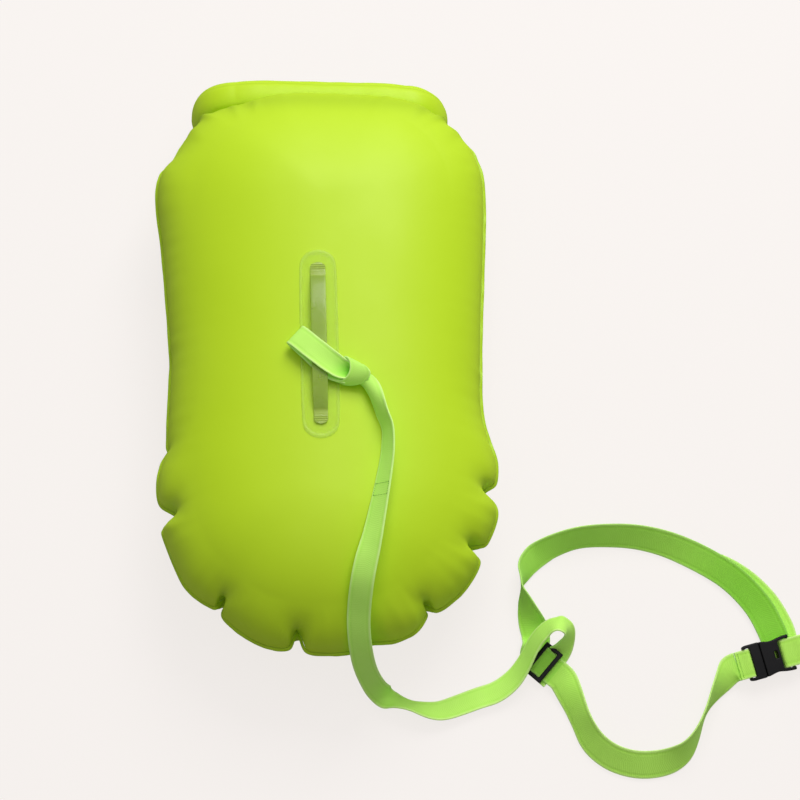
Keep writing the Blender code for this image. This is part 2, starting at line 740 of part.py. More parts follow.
def build_hitch(finish):
    """The tether's doubled end: one closed band under and over the handle strip."""
    low = patch_top() + hitch_lower_lift + webbing_thickness / 2.0
    high = patch_top() + fit_gap + handle_thickness + handle_rise + webbing_thickness / 2.0 + 1.5 * fit_gap
    fold = (high - low) / 2.0
    line = [(-hitch_left_reach, high), (0.0, high), (hitch_right_reach * 0.45, high + hitch_bulge * 0.35),
            (hitch_right_reach * 0.75, high + hitch_bulge), (hitch_right_reach * 0.97, high + hitch_bulge * 0.2),
            (hitch_right_reach, (high + low) / 2.0), (hitch_right_reach * 0.88, low + hitch_bulge * 0.1),
            (hitch_right_reach * 0.5, low), (0.0, low), (-hitch_left_reach, low),
            (-hitch_left_reach - fold * 0.7, low + fold * 0.3), (-hitch_left_reach - fold, low + fold),
            (-hitch_left_reach - fold * 0.7, high - fold * 0.3)]
    curve = smooth_route([(along, 0.0, z) for along, z in line], ribbon_step * 0.4, closed=True)
    c, s = math.cos(hitch_heading), math.sin(hitch_heading)
    middles = np.stack([hitch_middle[0] + curve[:, 0] * c, hitch_middle[1] + curve[:, 0] * s, curve[:, 2]], axis=1)
    ribbon("tether_hitch", middles, np.tile((-s, c, 0.0), (len(middles), 1)), tether_width,
           finish["tether_webbing"], closed=True)


def build_tether(finish):
    middles, across = laid_strip(tether_route, tether_width)
    ribbon("tether_webbing", middles, across, tether_width, finish["tether_webbing"])


def slider_frame():
    c, s = math.cos(slider_heading), math.sin(slider_heading)
    across = (-s * math.cos(slider_tilt), c * math.cos(slider_tilt), math.sin(slider_tilt))
    half_width = belt_width / 2.0 + slider_belt_clearance + slider_rail
    half_stack = slider_plate + webbing_thickness / 2.0 + slider_belt_clearance
    height = slider_underside + half_width * math.sin(slider_tilt) + half_stack * math.cos(slider_tilt)
    return frame_at("belt_slider_frame", (*slider_middle, height), (c, s, 0.0), across), half_width, half_stack


def build_slider(finish):
    """A three-bar slider: two end bars over the belt and a middle bar under it."""
    frame, half_width, half_stack = slider_frame()
    half_length = slider_length / 2.0
    body = block("belt_slider", (-half_length, -half_width, -half_stack), (half_length, half_width, half_stack),
                 finish["black_plastic"], frame, buckle_round)
    opening = half_width - slider_rail
    channel = webbing_thickness / 2.0 + slider_belt_clearance
    cut(body, block("slider_channel", (-half_length - cut_overrun, -opening, -channel),
                    (half_length + cut_overrun, opening, channel), None, frame))
    cut(body, block("slider_upper_window", (-half_length + slider_bar, -opening, 0.0),
                    (half_length - slider_bar, opening, half_stack + cut_overrun), None, frame))
    for label, start, end in (("near", -half_length - cut_overrun, -slider_middle_bar / 2.0),
                              ("far", slider_middle_bar / 2.0, half_length + cut_overrun)):
        cut(body, block("slider_lower_window_" + label, (start, -opening, -half_stack - cut_overrun),
                        (end, opening, 0.0), None, frame))
    return frame


def build_belt(finish, slider):
    """The belt in its stretches: far run, through the slider, near run, sewn end and adjuster end."""
    middles, across = laid_strip(belt_far_route, belt_width)
    along = np.array(slider.matrix_world.to_3x3() @ Vector((1.0, 0.0, 0.0)))
    side = np.array(slider.matrix_world.to_3x3() @ Vector((0.0, 1.0, 0.0)))
    centre = np.array(slider.matrix_world.translation)
    before, beyond = slider_length / 2.0 + slider_lead_in, slider_length / 2.0 + slider_travel + slider_run_out
    ribbon("belt_far_run", np.vstack([middles, centre - along * before, centre + along * beyond]),
           np.vstack([across, side, side]), belt_width, finish["belt_webbing"])
    near, near_across = laid_strip(belt_near_route, belt_width)
    start = centre + along * (beyond + fit_gap)
    plug = belt_buckle_frame()
    lower_layer = -(fit_gap + webbing_thickness) / 2.0
    end = plug.matrix_world @ Vector((-belt_buckle_length / 2.0 - sewn_stitch_reach, 0.0, lower_layer))
    plug_side = np.array(plug.matrix_world.to_3x3() @ Vector((0.0, 1.0, 0.0)))
    plug_along = np.array(plug.matrix_world.to_3x3() @ Vector((1.0, 0.0, 0.0)))
    end = np.array(end) - plug_along * fit_gap
    ribbon("belt_near_run", np.vstack([start, start + along * belt_width / 6.0, near,
                                       end - plug_along * belt_width / 5.0, end]),
           np.vstack([side, side, near_across, plug_side, plug_side]), belt_width, finish["belt_webbing"])
    bar = -belt_buckle_length / 2.0 + buckle_bar / 2.0
    line = hairpin(-belt_buckle_length / 2.0 - sewn_stitch_reach, bar, bar_wrap_gap(), fit_gap,
                   sewn_stitch_reach - adjuster_bulge)
    ribbon("belt_sewn_end", [(x, 0.0, z) for x, z in line], np.tile((0.0, 1.0, 0.0), (len(line), 1)),
           belt_width, finish["belt_webbing"], frame=plug)
    return plug


def belt_buckle_frame():
    existing = bpy.data.objects.get("belt_buckle_frame")
    if existing is not None:
        return existing
    c, s = math.cos(belt_buckle_heading), math.sin(belt_buckle_heading)
    across = (-s * math.cos(belt_buckle_tilt), c * math.cos(belt_buckle_tilt), math.sin(belt_buckle_tilt))
    height = (belt_buckle_underside + belt_buckle_width / 2.0 * math.sin(belt_buckle_tilt)
              + belt_buckle_thickness / 2.0 * math.cos(belt_buckle_tilt))
    return frame_at("belt_buckle_frame", (*belt_buckle_middle, height), (c, s, 0.0), across)


def build_belt_tail(plug, finish):
    """The adjusting end: under the socket, up round the ladder's end bar and out to the right."""
    at = buckle_stations(belt_buckle_length)
    bar = (at["bar_two"] + at["slot_two"]) / 2.0
    radius = (bar_wrap_gap() + webbing_thickness) / 2.0
    under = -belt_buckle_thickness / 2.0 - fit_gap - webbing_thickness / 2.0
    reach = belt_buckle_length / 2.0 + adjuster_loop
    line = [(0.0, under), (belt_buckle_length / 2.0 - 2.0 * adjuster_bulge, under),
            (reach - adjuster_bulge, under + adjuster_lift / 2.0), (reach + adjuster_bulge, under / 2.0),
            (reach, -radius + adjuster_lift / 3.0), (at["end_bar"] + adjuster_bulge, -radius), (bar, -radius)]
    for angle in np.linspace(20.0, 180.0, 7):
        line.append((bar - radius * math.sin(math.radians(angle)), -radius * math.cos(math.radians(angle))))
    line += [(bar + adjuster_loop, radius + adjuster_lift / 3.0), (reach + adjuster_bulge, radius + adjuster_lift),
             (reach + adjuster_tail / 3.0, radius - adjuster_lift / 2.0),
             (reach + adjuster_tail / 1.5, -radius - adjuster_lift / 2.0),
             (reach + adjuster_tail, under + adjuster_lift / 2.0)]
    curve = smooth_route([(x, 0.0, z) for x, z in line], ribbon_step * 0.5)
    ribbon("belt_adjuster_end", curve, np.tile((0.0, 1.0, 0.0), (len(curve), 1)), belt_width,
           finish["belt_webbing"], frame=plug)


def valve_place(edge, side):
    """A point of the back chamber's surface near the mouth, and the way out of it."""
    spine_y = spine_high_share * bag_half_length
    heading = valve_heading if side > 0 else math.pi - valve_heading
    ray = np.array((math.cos(heading), math.sin(heading)))
    upper = edge[edge[:, 1] > spine_y]
    offsets = upper - np.array((0.0, spine_y))
    distance = offsets @ ray
    aside = np.abs(offsets[:, 0] * ray[1] - offsets[:, 1] * ray[0])
    reach = distance[np.argmin(aside + (distance < 0.0))]
    share = 1.0 - valve_depth_share
    base = seam_z - liner_thickness / 2.0 - fit_gap
    rise = back_chamber_depth * math.sqrt(1.0 - share ** 2)
    point = np.array((ray[0] * reach * share, spine_y + ray[1] * reach * share, base - rise))
    slope = back_chamber_depth * share / math.sqrt(1.0 - share ** 2) / reach
    out = np.array((ray[0] * slope, ray[1] * slope, -1.0))
    return point, out / np.linalg.norm(out)


def build_valve(name, edge, side, finish):
    point, out = valve_place(edge, side)
    across = np.cross(out, (0.0, 0.0, 1.0))
    across /= np.linalg.norm(across)
    upright = np.cross(out, across)
    work = bmesh.new()
    work.from_mesh(bpy.data.objects["back_air_chamber"].data)
    surface = BVHTree.FromBMesh(work)
    work.free()
    seat = []
    for share in np.linspace(0.0, 1.0, 6):
        for angle in np.linspace(0.0, 2.0 * math.pi, round_steps, endpoint=False):
            beside = valve_flange_radius * share * (across * math.cos(angle) + upright * math.sin(angle))
            above = point + beside + out * valve_flange_radius
            hit = surface.ray_cast(Vector(above), Vector(-out))[3]
            seat.append(valve_flange_radius - hit)
    stand_off = max(seat) + fit_gap
    frame = frame_at(name + "_frame", point + out * stand_off, across, upright)
    collar_inner = valve_collar_radius - valve_collar_wall
    shelf_top = valve_flange_thickness + valve_shelf
    lathe(name + "_base", [(valve_bore_radius, 0.0), (valve_flange_radius, 0.0),
                           (valve_flange_radius, valve_flange_thickness),
                           (valve_collar_radius, valve_flange_thickness),
                           (valve_collar_radius, valve_collar_height), (collar_inner, valve_collar_height),
                           (collar_inner, shelf_top), (valve_bore_radius, shelf_top)], finish["valve_plastic"], frame)
    part_radius = collar_inner - fit_gap
    disc_low = shelf_top + fit_gap
    disc_high = disc_low + valve_disc_thickness
    lathe(name + "_check_disc", [(0.0, disc_low), (part_radius, disc_low), (part_radius, disc_high),
                                 (0.0, disc_high)], finish["seal_rubber"], frame)
    seal_low = disc_high + fit_gap
    seal_high = seal_low + valve_seal_thickness
    lathe(name + "_seal", [(part_radius - valve_seal_width, seal_low), (part_radius, seal_low),
                           (part_radius, seal_high), (part_radius - valve_seal_width, seal_high)],
          finish["seal_rubber"], frame)
    stem_low = seal_high + fit_gap
    knob_low = valve_collar_height + fit_gap
    knob_high = knob_low + valve_knob_thickness
    spout_top = knob_high + valve_spout_height
    spout = lathe(name + "_mouthpiece", [(valve_spout_bore, stem_low), (part_radius, stem_low),
                                         (part_radius, knob_low), (valve_knob_radius, knob_low),
                                         (valve_knob_radius, knob_high), (valve_spout_radius, knob_high),
                                         (valve_spout_radius * 0.9, spout_top), (valve_spout_bore, spout_top)],
                  finish["valve_plastic"], frame)
    for wing in (-1.0, 1.0):
        reach = sorted((wing * (valve_spout_radius - valve_grip_inset), wing * (valve_knob_radius - valve_grip_inset)))
        grip = block(name + ("_grip_left" if wing < 0 else "_grip_right"),
                     (reach[0], -valve_grip_thickness / 2.0, knob_high - valve_grip_inset / 2.0),
                     (reach[1], valve_grip_thickness / 2.0, knob_high + valve_spout_height * 0.5), None, frame)
        cut(spout, grip, "UNION")


def main():
    clear_scene()
    finish = {
        "coated_fabric": material("lime_coated_fabric", (0.52, 0.77, 0.04), 0.45),
        "weld": material("lime_weld", (0.42, 0.66, 0.03), 0.4),
        "liner": material("inner_liner", (0.45, 0.7, 0.1), 0.5),
        "clear_film": material("clear_film", (0.72, 0.78, 0.62), 0.2, alpha=0.45),
        "tether_webbing": material("spring_green_webbing", (0.36, 0.8, 0.14), 0.8),
        "belt_webbing": material("green_belt_webbing", (0.28, 0.64, 0.08), 0.8),
        "black_plastic": material("black_plastic", (0.012, 0.013, 0.014), 0.35),
        "valve_plastic": material("valve_plastic", (0.05, 0.05, 0.05), 0.4),
        "seal_rubber": material("seal_rubber", (0.1, 0.1, 0.1), 0.7),
    }
    edge = build_bag(finish)
    build_mouth(finish)
    build_closure(finish)
    build_patch(edge, finish)
    build_handle(finish)
    build_hitch(finish)
    build_tether(finish)
    slider = build_slider(finish)
    plug = build_belt(finish, slider)
    build_buckle("belt_buckle", plug, belt_buckle_length, belt_buckle_width, belt_buckle_thickness,
                 belt_width, finish["black_plastic"])
    build_belt_tail(plug, finish)
    build_valve("left_valve", edge, -1.0, finish)
    build_valve("right_valve", edge, 1.0, finish)


main()
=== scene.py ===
"""Open water swim buoy with its tether and waist belt, dressed over the fixed frame.

Metres, +Z up. The buoy lies on its back, its rolled mouth towards +Y. The camera looks
down on it from the foot end. Each piece is a surface worked out as whole arrays.
"""
import math

import bmesh
import bpy
import numpy as np
from mathutils import Matrix, Vector


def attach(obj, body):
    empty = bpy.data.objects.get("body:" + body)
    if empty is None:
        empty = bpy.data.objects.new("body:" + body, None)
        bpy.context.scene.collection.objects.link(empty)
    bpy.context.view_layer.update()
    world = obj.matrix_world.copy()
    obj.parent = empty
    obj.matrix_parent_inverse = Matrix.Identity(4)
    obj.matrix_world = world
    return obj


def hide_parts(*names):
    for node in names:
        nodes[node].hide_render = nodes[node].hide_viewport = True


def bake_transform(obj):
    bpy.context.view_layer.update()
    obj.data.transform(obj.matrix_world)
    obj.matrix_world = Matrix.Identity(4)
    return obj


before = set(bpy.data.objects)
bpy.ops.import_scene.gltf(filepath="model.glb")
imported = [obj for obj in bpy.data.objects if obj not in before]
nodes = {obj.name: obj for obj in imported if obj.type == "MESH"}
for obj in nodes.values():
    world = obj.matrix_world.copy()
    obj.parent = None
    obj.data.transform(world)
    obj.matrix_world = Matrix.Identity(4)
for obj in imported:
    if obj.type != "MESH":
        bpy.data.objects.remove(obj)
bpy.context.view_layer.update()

MM = 0.001
full_turn = 2.0 * math.pi

# ---------------------------------------------------------------- sizes shared with the frame
half_width, half_length = 0.188, 0.3255
seam_z, front_depth, back_depth, seam_gap = 0.0850, 0.0820, 0.0844, 0.0006
weld_width = 0.004
roll_axis_y, roll_middle_x, roll_half_run, roll_bend = 0.3065, -0.0115, 0.093, 0.035
roll_half_height, roll_half_thickness, roll_return, roll_lean, roll_top_z = 0.019, 0.011, 0.008, 0.3, 0.090
neck_y = 0.28880
spine_low, spine_high = -0.507 * half_length, 0.461 * half_length
# How far the front chamber's crown stands out over the foot of the roll.
crown_swell = 0.021
patch_middle, patch_turn = np.array((-0.001, -0.0155)), math.radians(3.0)
webbing_thickness, tether_width, belt_width = 0.0016, 0.025, 0.030
strip_seat = 0.1695

# The weld's outline: x and y in shares of the half width and half length, and 1 at a notch.
outline_rows = np.array([
    (0.670, 0.851, 1), (0.790, 0.787, 0), (0.862, 0.728, 0), (0.915, 0.575, 0), (0.904, 0.070, 0),
    (0.912, -0.165, 0), (0.955, -0.273, 0), (0.998, -0.350, 0), (0.993, -0.421, 0), (0.929, -0.452, 1),
    (0.993, -0.492, 0), (0.998, -0.545, 0), (0.940, -0.628, 0), (0.849, -0.641, 1), (0.909, -0.685, 0),
    (0.823, -0.780, 0), (0.679, -0.851, 0), (0.605, -0.834, 1), (0.623, -0.862, 0), (0.560, -0.920, 0),
    (0.443, -0.954, 0), (0.316, -0.962, 1), (0.200, -0.992, 0), (0.066, -1.000, 0), (-0.040, -0.990, 0),
    (-0.088, -0.938, 1), (-0.120, -0.980, 0), (-0.210, -0.985, 0), (-0.344, -0.958, 0), (-0.504, -0.885, 0),
    (-0.492, -0.830, 1), (-0.555, -0.857, 0), (-0.719, -0.786, 0), (-0.848, -0.634, 0), (-0.851, -0.590, 0),
    (-0.784, -0.555, 1), (-0.880, -0.520, 0), (-0.904, -0.453, 0), (-0.885, -0.380, 0), (-0.850, -0.337, 1),
    (-0.862, -0.300, 0), (-0.864, -0.100, 0), (-0.875, 0.020, 0), (-0.945, 0.343, 0), (-0.9995, 0.540, 0),
    (-0.985, 0.640, 0), (-0.916, 0.692, 1), (-0.867, 0.754, 0), (-0.762, 0.848, 1)])
crown_rows = np.array([(-0.60, 0.985, 0), (-0.10, 0.999, 0), (0.50, 0.985, 0)])

# Routes of the webbing: x, y, height of the lower edge (mm), heading and lean of the width (degrees).
tether_route = [
    (36, -50.5, 173.5, 54, 6), (45.6, -57.6, 170.8, 42, 24), (51.2, -67.2, 167.0, 30, 46), (57.2, -79, 164.6, 14, 58),
    (64.6, -93, 164.0, -2, 62),
    (71, -107, 163.4, -18, 61), (72, -128, 163.4, -25, 56), (70.5, -147, 163.4, -24, 53),
    (65.5, -181, 163.8, -18, 46), (58.5, -222, 161.5, -11, 34), (53, -247, 156.0, -7, 20),
    (49, -269, 148.0, -6, 18), (46.5, -292, 134.0, -6, 18), (47, -310, 119.0, -5, 18), (50, -326, 99.0, -4, 16),
    (54, -335, 74.0, 0, 12), (60, -341, 46.0, 8, 4), (68, -346, 20.0, 24, -12), (81, -351, 3.0, 52, -36),
    (99, -356.5, 1.0, 86, -54), (116, -360.5, 1.0, 93, -38), (132, -361, 1.0, 96, -24), (152, -354, 1.0, 97, -16),
    (172, -346.0, 1.0, 98, -15), (188, -340.5, 1.2, 100, -14), (200, -333, 2.4, 104, -17),
    (211, -322.5, 5.4, 112, -24), (219.5, -309.5, 11.0, 119, -36), (225.1, -298.4, 17.5, 121, -41),
    (231.1, -288.5, 24.0, 120, -42), (238.0, -281.4, 30.5, 118, -44), (245.2, -276.6, 35.0, 114, -47),
    (252.6, -274.6, 38.5, 102, -51), (258.6, -275.4, 39.0, 82, -55), (261.9, -278.2, 35.5, 56, -54),
    (262.8, -283.2, 27.5, 33, -47), (260.6, -289.6, 16.5, 12, -40), (256.8, -295.4, 7.5, -16, -26),
    (252.3, -300.3, 2.8, -33, -10), (246.5, -306.5, 1.4, -39, -2), (238.5, -315, 1.0, -40, 0),
    (230.5, -324.4, 1.0, -40, 0)]
belt_far_route = [
    (487, -288, 0.8, 17, 0), (481, -270, 2.4, 30, 9), (466, -241.5, 2.7, 60, 20), (441, -214, 2.6, 79, 23),
    (411, -193.5, 1.0, 90, 24), (376, -178, 1.0, 97, 35), (343, -170, 1.0, 98, 44), (311, -168.5, 1.0, 98, 50),
    (276, -172, 1.0, 96, 55), (246, -183, 1.0, 103, 48), (227, -196, 1.0, 108, 36), (218.2, -210, 1.0, 110, 44),
    (215.6, -222, 1.0, 102, 66), (216.0, -232, 1.0, -70, 78), (218.8, -243, 1.2, -16, 64), (223.0, -255, 1.6, 0, 46),
    (228.6, -269, 2.0, 19, 19), (231.4, -281, 2.8, 36, 7), (230.8, -289.5, 3.6, 46, 2)]
belt_tail_route = [
    (493.5, -279, 0.6, 24, 0), (488.4, -261.6, 0.6, 38, 3), (475.0, -238.2, 0.6, 60, 8), (456.6, -218.8, 0.6, 72, 12),
    (438.6, -206.2, 0.6, 80, 15), (422.6, -198.6, 0.6, 86, 18)]
belt_near_route = [
    (264, -333.5, 3.6, 34, 22), (270.5, -350, 1.4, 18, 42), (279, -371, 1.0, 16, 50), (291, -392, 1.0, 30, 38),
    (310, -406.5, 1.0, 56, 34), (332, -413, 1.0, 77, 31), (352, -413, 1.0, 94, 31), (371, -408.5, 1.0, 108, 39),
    (387, -398, 1.0, 120, 58), (398, -381, 1.0, 128, 74), (407, -358, 1.0, 134, 84), (415.5, -341, 1.4, 128, 70),
    (424, -327.5, 2.4, 118, 48), (430.5, -318, 4.2, 112, 28)]

slider_centre = np.array((0.239, -0.308, 0.010227))
slider_axes = np.array(((0.76604, -0.64279, 0.0), (0.62874, 0.7493, 0.20791), (-0.13364, -0.15927, 0.97815)))
buckle_centre = np.array((0.4745, -0.299, 0.01493))
buckle_axes = np.array(((0.9563, 0.29237, 0.0), (-0.28598, 0.93541, 0.20791), (0.06079, -0.19883, 0.97815)))
closure_centre = np.array((-0.0115, 0.2855, 0.02))
# The middle of each valve's foot and the way the valve points.
valve_seats = [(np.array((-0.0521, 0.24805, 0.0228)), np.array((-0.21825, 0.41048, -0.88537))),
               (np.array((0.04899, 0.24219, 0.01995)), np.array((0.23182, 0.43599, -0.86958)))]

# Creases that run in from the edge: x, y, heading (degrees), length, depth and half width (mm).
creases = np.array([
    (174.6, -147.1, 160, 18, 1.0, 3.4), (159.6, -208.6, 150, 22, 1.2, 3.4), (113.7, -271.5, 118, 22, 1.2, 3.6),
    (59.4, -313.1, 96, 12, 0.8, 3.0), (-16.5, -305.3, 88, 20, 1.1, 3.2), (-92.5, -270.2, 62, 26, 1.4, 3.6),
    (-147.4, -180.7, 24, 26, 1.4, 3.4), (-159.8, -109.7, 8, 18, 1.0, 3.4), (-172.2, 225.2, -16, 22, 1.4, 3.4),
    (-143.3, 276.0, -38, 34, 4.2, 4.6), (126.0, 277.0, -140, 30, 4.0, 4.4), (170.5, -20.0, 178, 26, 1.1, 4.5),
    (-163.0, 6.0, 2, 26, 1.1, 4.5), (-150.0, 255.0, -60, 40, 1.8, 7.0), (140.0, 262.0, -116, 40, 1.6, 7.0),
    (-104.0, 272.0, -66, 30, 1.5, 4.2), (-82.0, 276.0, -84, 24, 1.1, 4.6), (98.0, 274.0, -112, 24, 1.0, 4.6)])


# ---------------------------------------------------------------- arrays
def step_between(value, low, high):
    """Nought below low, one above high, and a smooth cubic rise between."""
    t = np.clip((value - low) / (high - low), 0.0, 1.0)
    return t * t * (3.0 - 2.0 * t)


def bell(value, spread):
    """One at nought, falling to either side by the square of the value over the spread."""
    return np.exp(-(value / spread) ** 2)


def ripple(along, length, seed, terms=5):
    """A wandering wave of about one: sines whose lengths and starts come from the seed."""
    numbers = np.random.default_rng(seed)
    lengths = length * numbers.uniform(0.6, 1.7, terms)
    starts = numbers.uniform(0.0, full_turn, terms)
    waves = np.sin(along[..., None] * (full_turn / lengths) + starts)
    return waves.sum(-1) / math.sqrt(terms)


def cubic_between(b, s, e, a, t):
    """The point a share t of the way from s to e, on the cubic whose slope at s is half the way from b
    to e, and at e half the way from s to a."""
    return 0.5 * (2 * s + (e - b) * t + (2 * b - 5 * s + 4 * e - a) * t ** 2 + (3 * s - b - 3 * e + a) * t ** 3)


def spline(rows, step):
    """Points about one step apart on the cubics from row to row, each end carried on straight."""
    rows = np.asarray(rows, float)
    padded = np.vstack([2 * rows[0] - rows[1], rows, 2 * rows[-1] - rows[-2]])
    spans = np.linalg.norm((padded[2:-1] - padded[1:-2])[:, :3], axis=1)
    counts = np.maximum(1, np.round(spans / step).astype(int))
    which = np.repeat(np.arange(len(counts)), counts)
    first = np.repeat(np.cumsum(counts) - counts, counts)
    t = ((np.arange(len(which)) - first) / counts[which])[:, None]
    return np.vstack([cubic_between(*(padded[which + ahead] for ahead in range(4)), t), rows[-1]])


def unit(vectors):
    """Each vector over its own length."""
    return vectors / np.linalg.norm(vectors, axis=-1, keepdims=True)


def whole_turn(count):
    """Even angles round a circle."""
    return np.linspace(0.0, full_turn, count, endpoint=False)


def powered(value, power):
    """The size of the value raised to the power, its sign kept."""
    return np.sign(value) * np.abs(value) ** power


def square_frames(middles, widths):
    """Width and face directions square to the middles' line, nearest to the widths given, or to the
    one width given."""
    tangents = unit(np.gradient(middles, axis=0))
    across = unit(widths - (widths * tangents).sum(1)[:, None] * tangents)
    return across, np.cross(tangents, across)


def drawn_on(middles, across):
    """One curve at steps of 2 mm through the rows of both: the middles and the width directions."""
    return np.hsplit(spline(np.hstack([np.vstack(middles), np.vstack(across)]), 0.002), 2)


def laid_strip(route, width):
    """Middles and width directions of a strip whose lower edge keeps the route's heights."""
    rows = np.array(route, float)
    heading, lean = np.radians(rows[:, 3]), np.radians(rows[:, 4])
    turns = np.stack([np.cos(lean) * np.cos(heading), np.cos(lean) * np.sin(heading), np.sin(lean)], axis=1)
    lower, directions = drawn_on(rows[:, :3] * MM, turns)
    middles, directions = lower.copy(), unit(directions)
    for _ in range(3):
        across, out = square_frames(middles, directions)
        half = np.abs(across[:, 2]) * width / 2.0 + np.abs(out[:, 2]) * webbing_thickness / 2.0
        middles[:, 2] = lower[:, 2] + half
    return middles, across


def run_length(points):
    """Distance along the points from the first."""
    return np.concatenate([[0.0], np.cumsum(np.linalg.norm(np.diff(points, axis=0), axis=1))])


def read_off(at, reach, field):
    """The field's columns at the distances asked for, on straight lines between its rows' distances."""
    return np.stack([np.interp(at, reach, column) for column in field.T], 1)


def placed(name, data):
    """An object of the data, in the scene."""
    made = bpy.data.objects.new(name, data)
    bpy.context.scene.collection.objects.link(made)
    return made


def grid(rows, columns, loop=False):
    """Quads of a tube's points, with each corner's row and column counted on past the wrap."""
    r, c = np.meshgrid(np.arange(rows if loop else rows - 1), np.arange(columns), indexing="ij")
    row = np.stack([r, r, r + 1, r + 1], axis=-1).reshape(-1, 4)
    column = np.stack([c, c + 1, c + 1, c], axis=-1).reshape(-1, 4)
    return (row % rows) * columns + column % columns, row, column


def piece(name, points, quads, caps=(), finish=None, uv=None, marks=None, body="bag", slot=None,
          replaces=(), inside_out=False, sharp=35.0):
    """A mesh of the points, the quads and the closing faces, set on a body of the frame.
    The slot is not used."""
    points = np.asarray(points, np.float32).reshape(-1, 3)
    quads = np.asarray(quads)
    caps = [np.asarray(cap) for cap in caps]
    if inside_out:
        quads, caps = quads[:, ::-1], [cap[::-1] for cap in caps]
        uv = None if uv is None else uv[:, ::-1]
    corners = np.concatenate([quads.ravel()] + caps).astype(np.int32)
    sizes = np.concatenate([np.full(len(quads), 4), [len(cap) for cap in caps]]).astype(np.int32)
    mesh = bpy.data.meshes.new(name)
    mesh.vertices.add(len(points))
    mesh.vertices.foreach_set("co", points.ravel())
    mesh.loops.add(len(corners))
    mesh.loops.foreach_set("vertex_index", corners)
    mesh.polygons.add(len(sizes))
    mesh.polygons.foreach_set("loop_start", np.concatenate([[0], np.cumsum(sizes)[:-1]]).astype(np.int32))
    mesh.update(calc_edges=True)
    if uv is not None:
        layer = mesh.uv_layers.new(name="along_across")
        flat = np.zeros((len(corners), 2), np.float32)
        flat[:quads.size] = uv.reshape(-1, 2)
        layer.data.foreach_set("uv", flat.ravel())
    for label, values in (marks or {}).items():
        mark = mesh.attributes.new(label, "FLOAT", "POINT")
        mark.data.foreach_set("value", np.asarray(values, np.float32).ravel())
    mesh.shade_smooth()
    mesh.set_sharp_from_angle(angle=math.radians(sharp))
    made = placed(name, mesh)
    if finish is not None:
        mesh.materials.append(finishes[finish])
    if body is not None:
        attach(made, body)
    if replaces:
        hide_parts(*replaces)
    return made


def tube(name, points, finish, loop=False, uv=None, **more):
    """A piece whose rows of points are wrapped sections, closed at both ends or joined in a loop.
    Its map, where it has one, is the distance along for each row and the place across for each column."""
    rows, columns = points.shape[:2]
    quads, row, column = grid(rows, columns, loop)
    if uv is not None:
        uv = np.stack([uv[0][row], np.append(uv[1], uv[1][0])[column]], axis=-1)
    ends = () if loop else [np.arange(columns)[::-1], (rows - 1) * columns + np.arange(columns)]
    return piece(name, points, quads, ends, finish, uv=uv, **more)


# ---------------------------------------------------------------- camera
def place_camera():
    """The photograph's view: from the foot end, 70 degrees above the floor, turned a little."""
    rise, roll, distance = math.radians(70.0), math.radians(-1.24), 2.6
    aim = Vector((0.083, -0.0335, 0.05))
    forward = Vector((0.0, math.cos(rise), -math.sin(rise)))
    upright = Vector((0.0, math.sin(rise), math.cos(rise)))
    sideways = Vector((1.0, 0.0, 0.0))
    right = sideways * math.cos(roll) - upright * math.sin(roll)
    up = upright * math.cos(roll) + sideways * math.sin(roll)
    data = bpy.data.cameras.new("front_camera")
    data.lens, data.sensor_width = 109.35, 36.0
    data.clip_start, data.clip_end = 0.05, 60.0
    made = placed("front_camera", data)
    turned = Matrix((right, up, -forward)).transposed().to_4x4()
    made.matrix_world = Matrix.Translation(aim - forward * distance) @ turned
    bpy.context.scene.camera = made


# ---------------------------------------------------------------- finishes
def feed(tree, node, inputs):
    """Each input set to its value, or linked where the value is a socket."""
    for key, value in inputs.items():
        if isinstance(value, bpy.types.NodeSocket):
            tree.links.new(value, node.inputs[key])
        else:
            node.inputs[key].default_value = value


def add_node(tree, kind, inputs=None, **settings):
    """A node of the kind with its settings, then its inputs."""
    made = tree.nodes.new("ShaderNode" + kind)
    for key, value in settings.items():
        setattr(made, key, value)
    feed(tree, made, inputs or {})
    return made


def sums(tree, operation, first, second=0.0, third=None):
    """One step of arithmetic between sockets or numbers."""
    given = {0: first, 1: second}
    if third is not None:
        given[2] = third
    return add_node(tree, "Math", given, operation=operation).outputs[0]


def effect(name, inputs, outputs):
    """An empty node group with named inputs and outputs."""
    tree = bpy.data.node_groups.new(name, "ShaderNodeTree")
    for label, kind, value in inputs:
        socket = tree.interface.new_socket(name=label, in_out="INPUT", socket_type="NodeSocket" + kind)
        if value is not None:
            socket.default_value = value
    for label, kind in outputs:
        tree.interface.new_socket(name=label, in_out="OUTPUT", socket_type="NodeSocket" + kind)
    return tree, tree.nodes.new("NodeGroupInput").outputs, tree.nodes.new("NodeGroupOutput").inputs


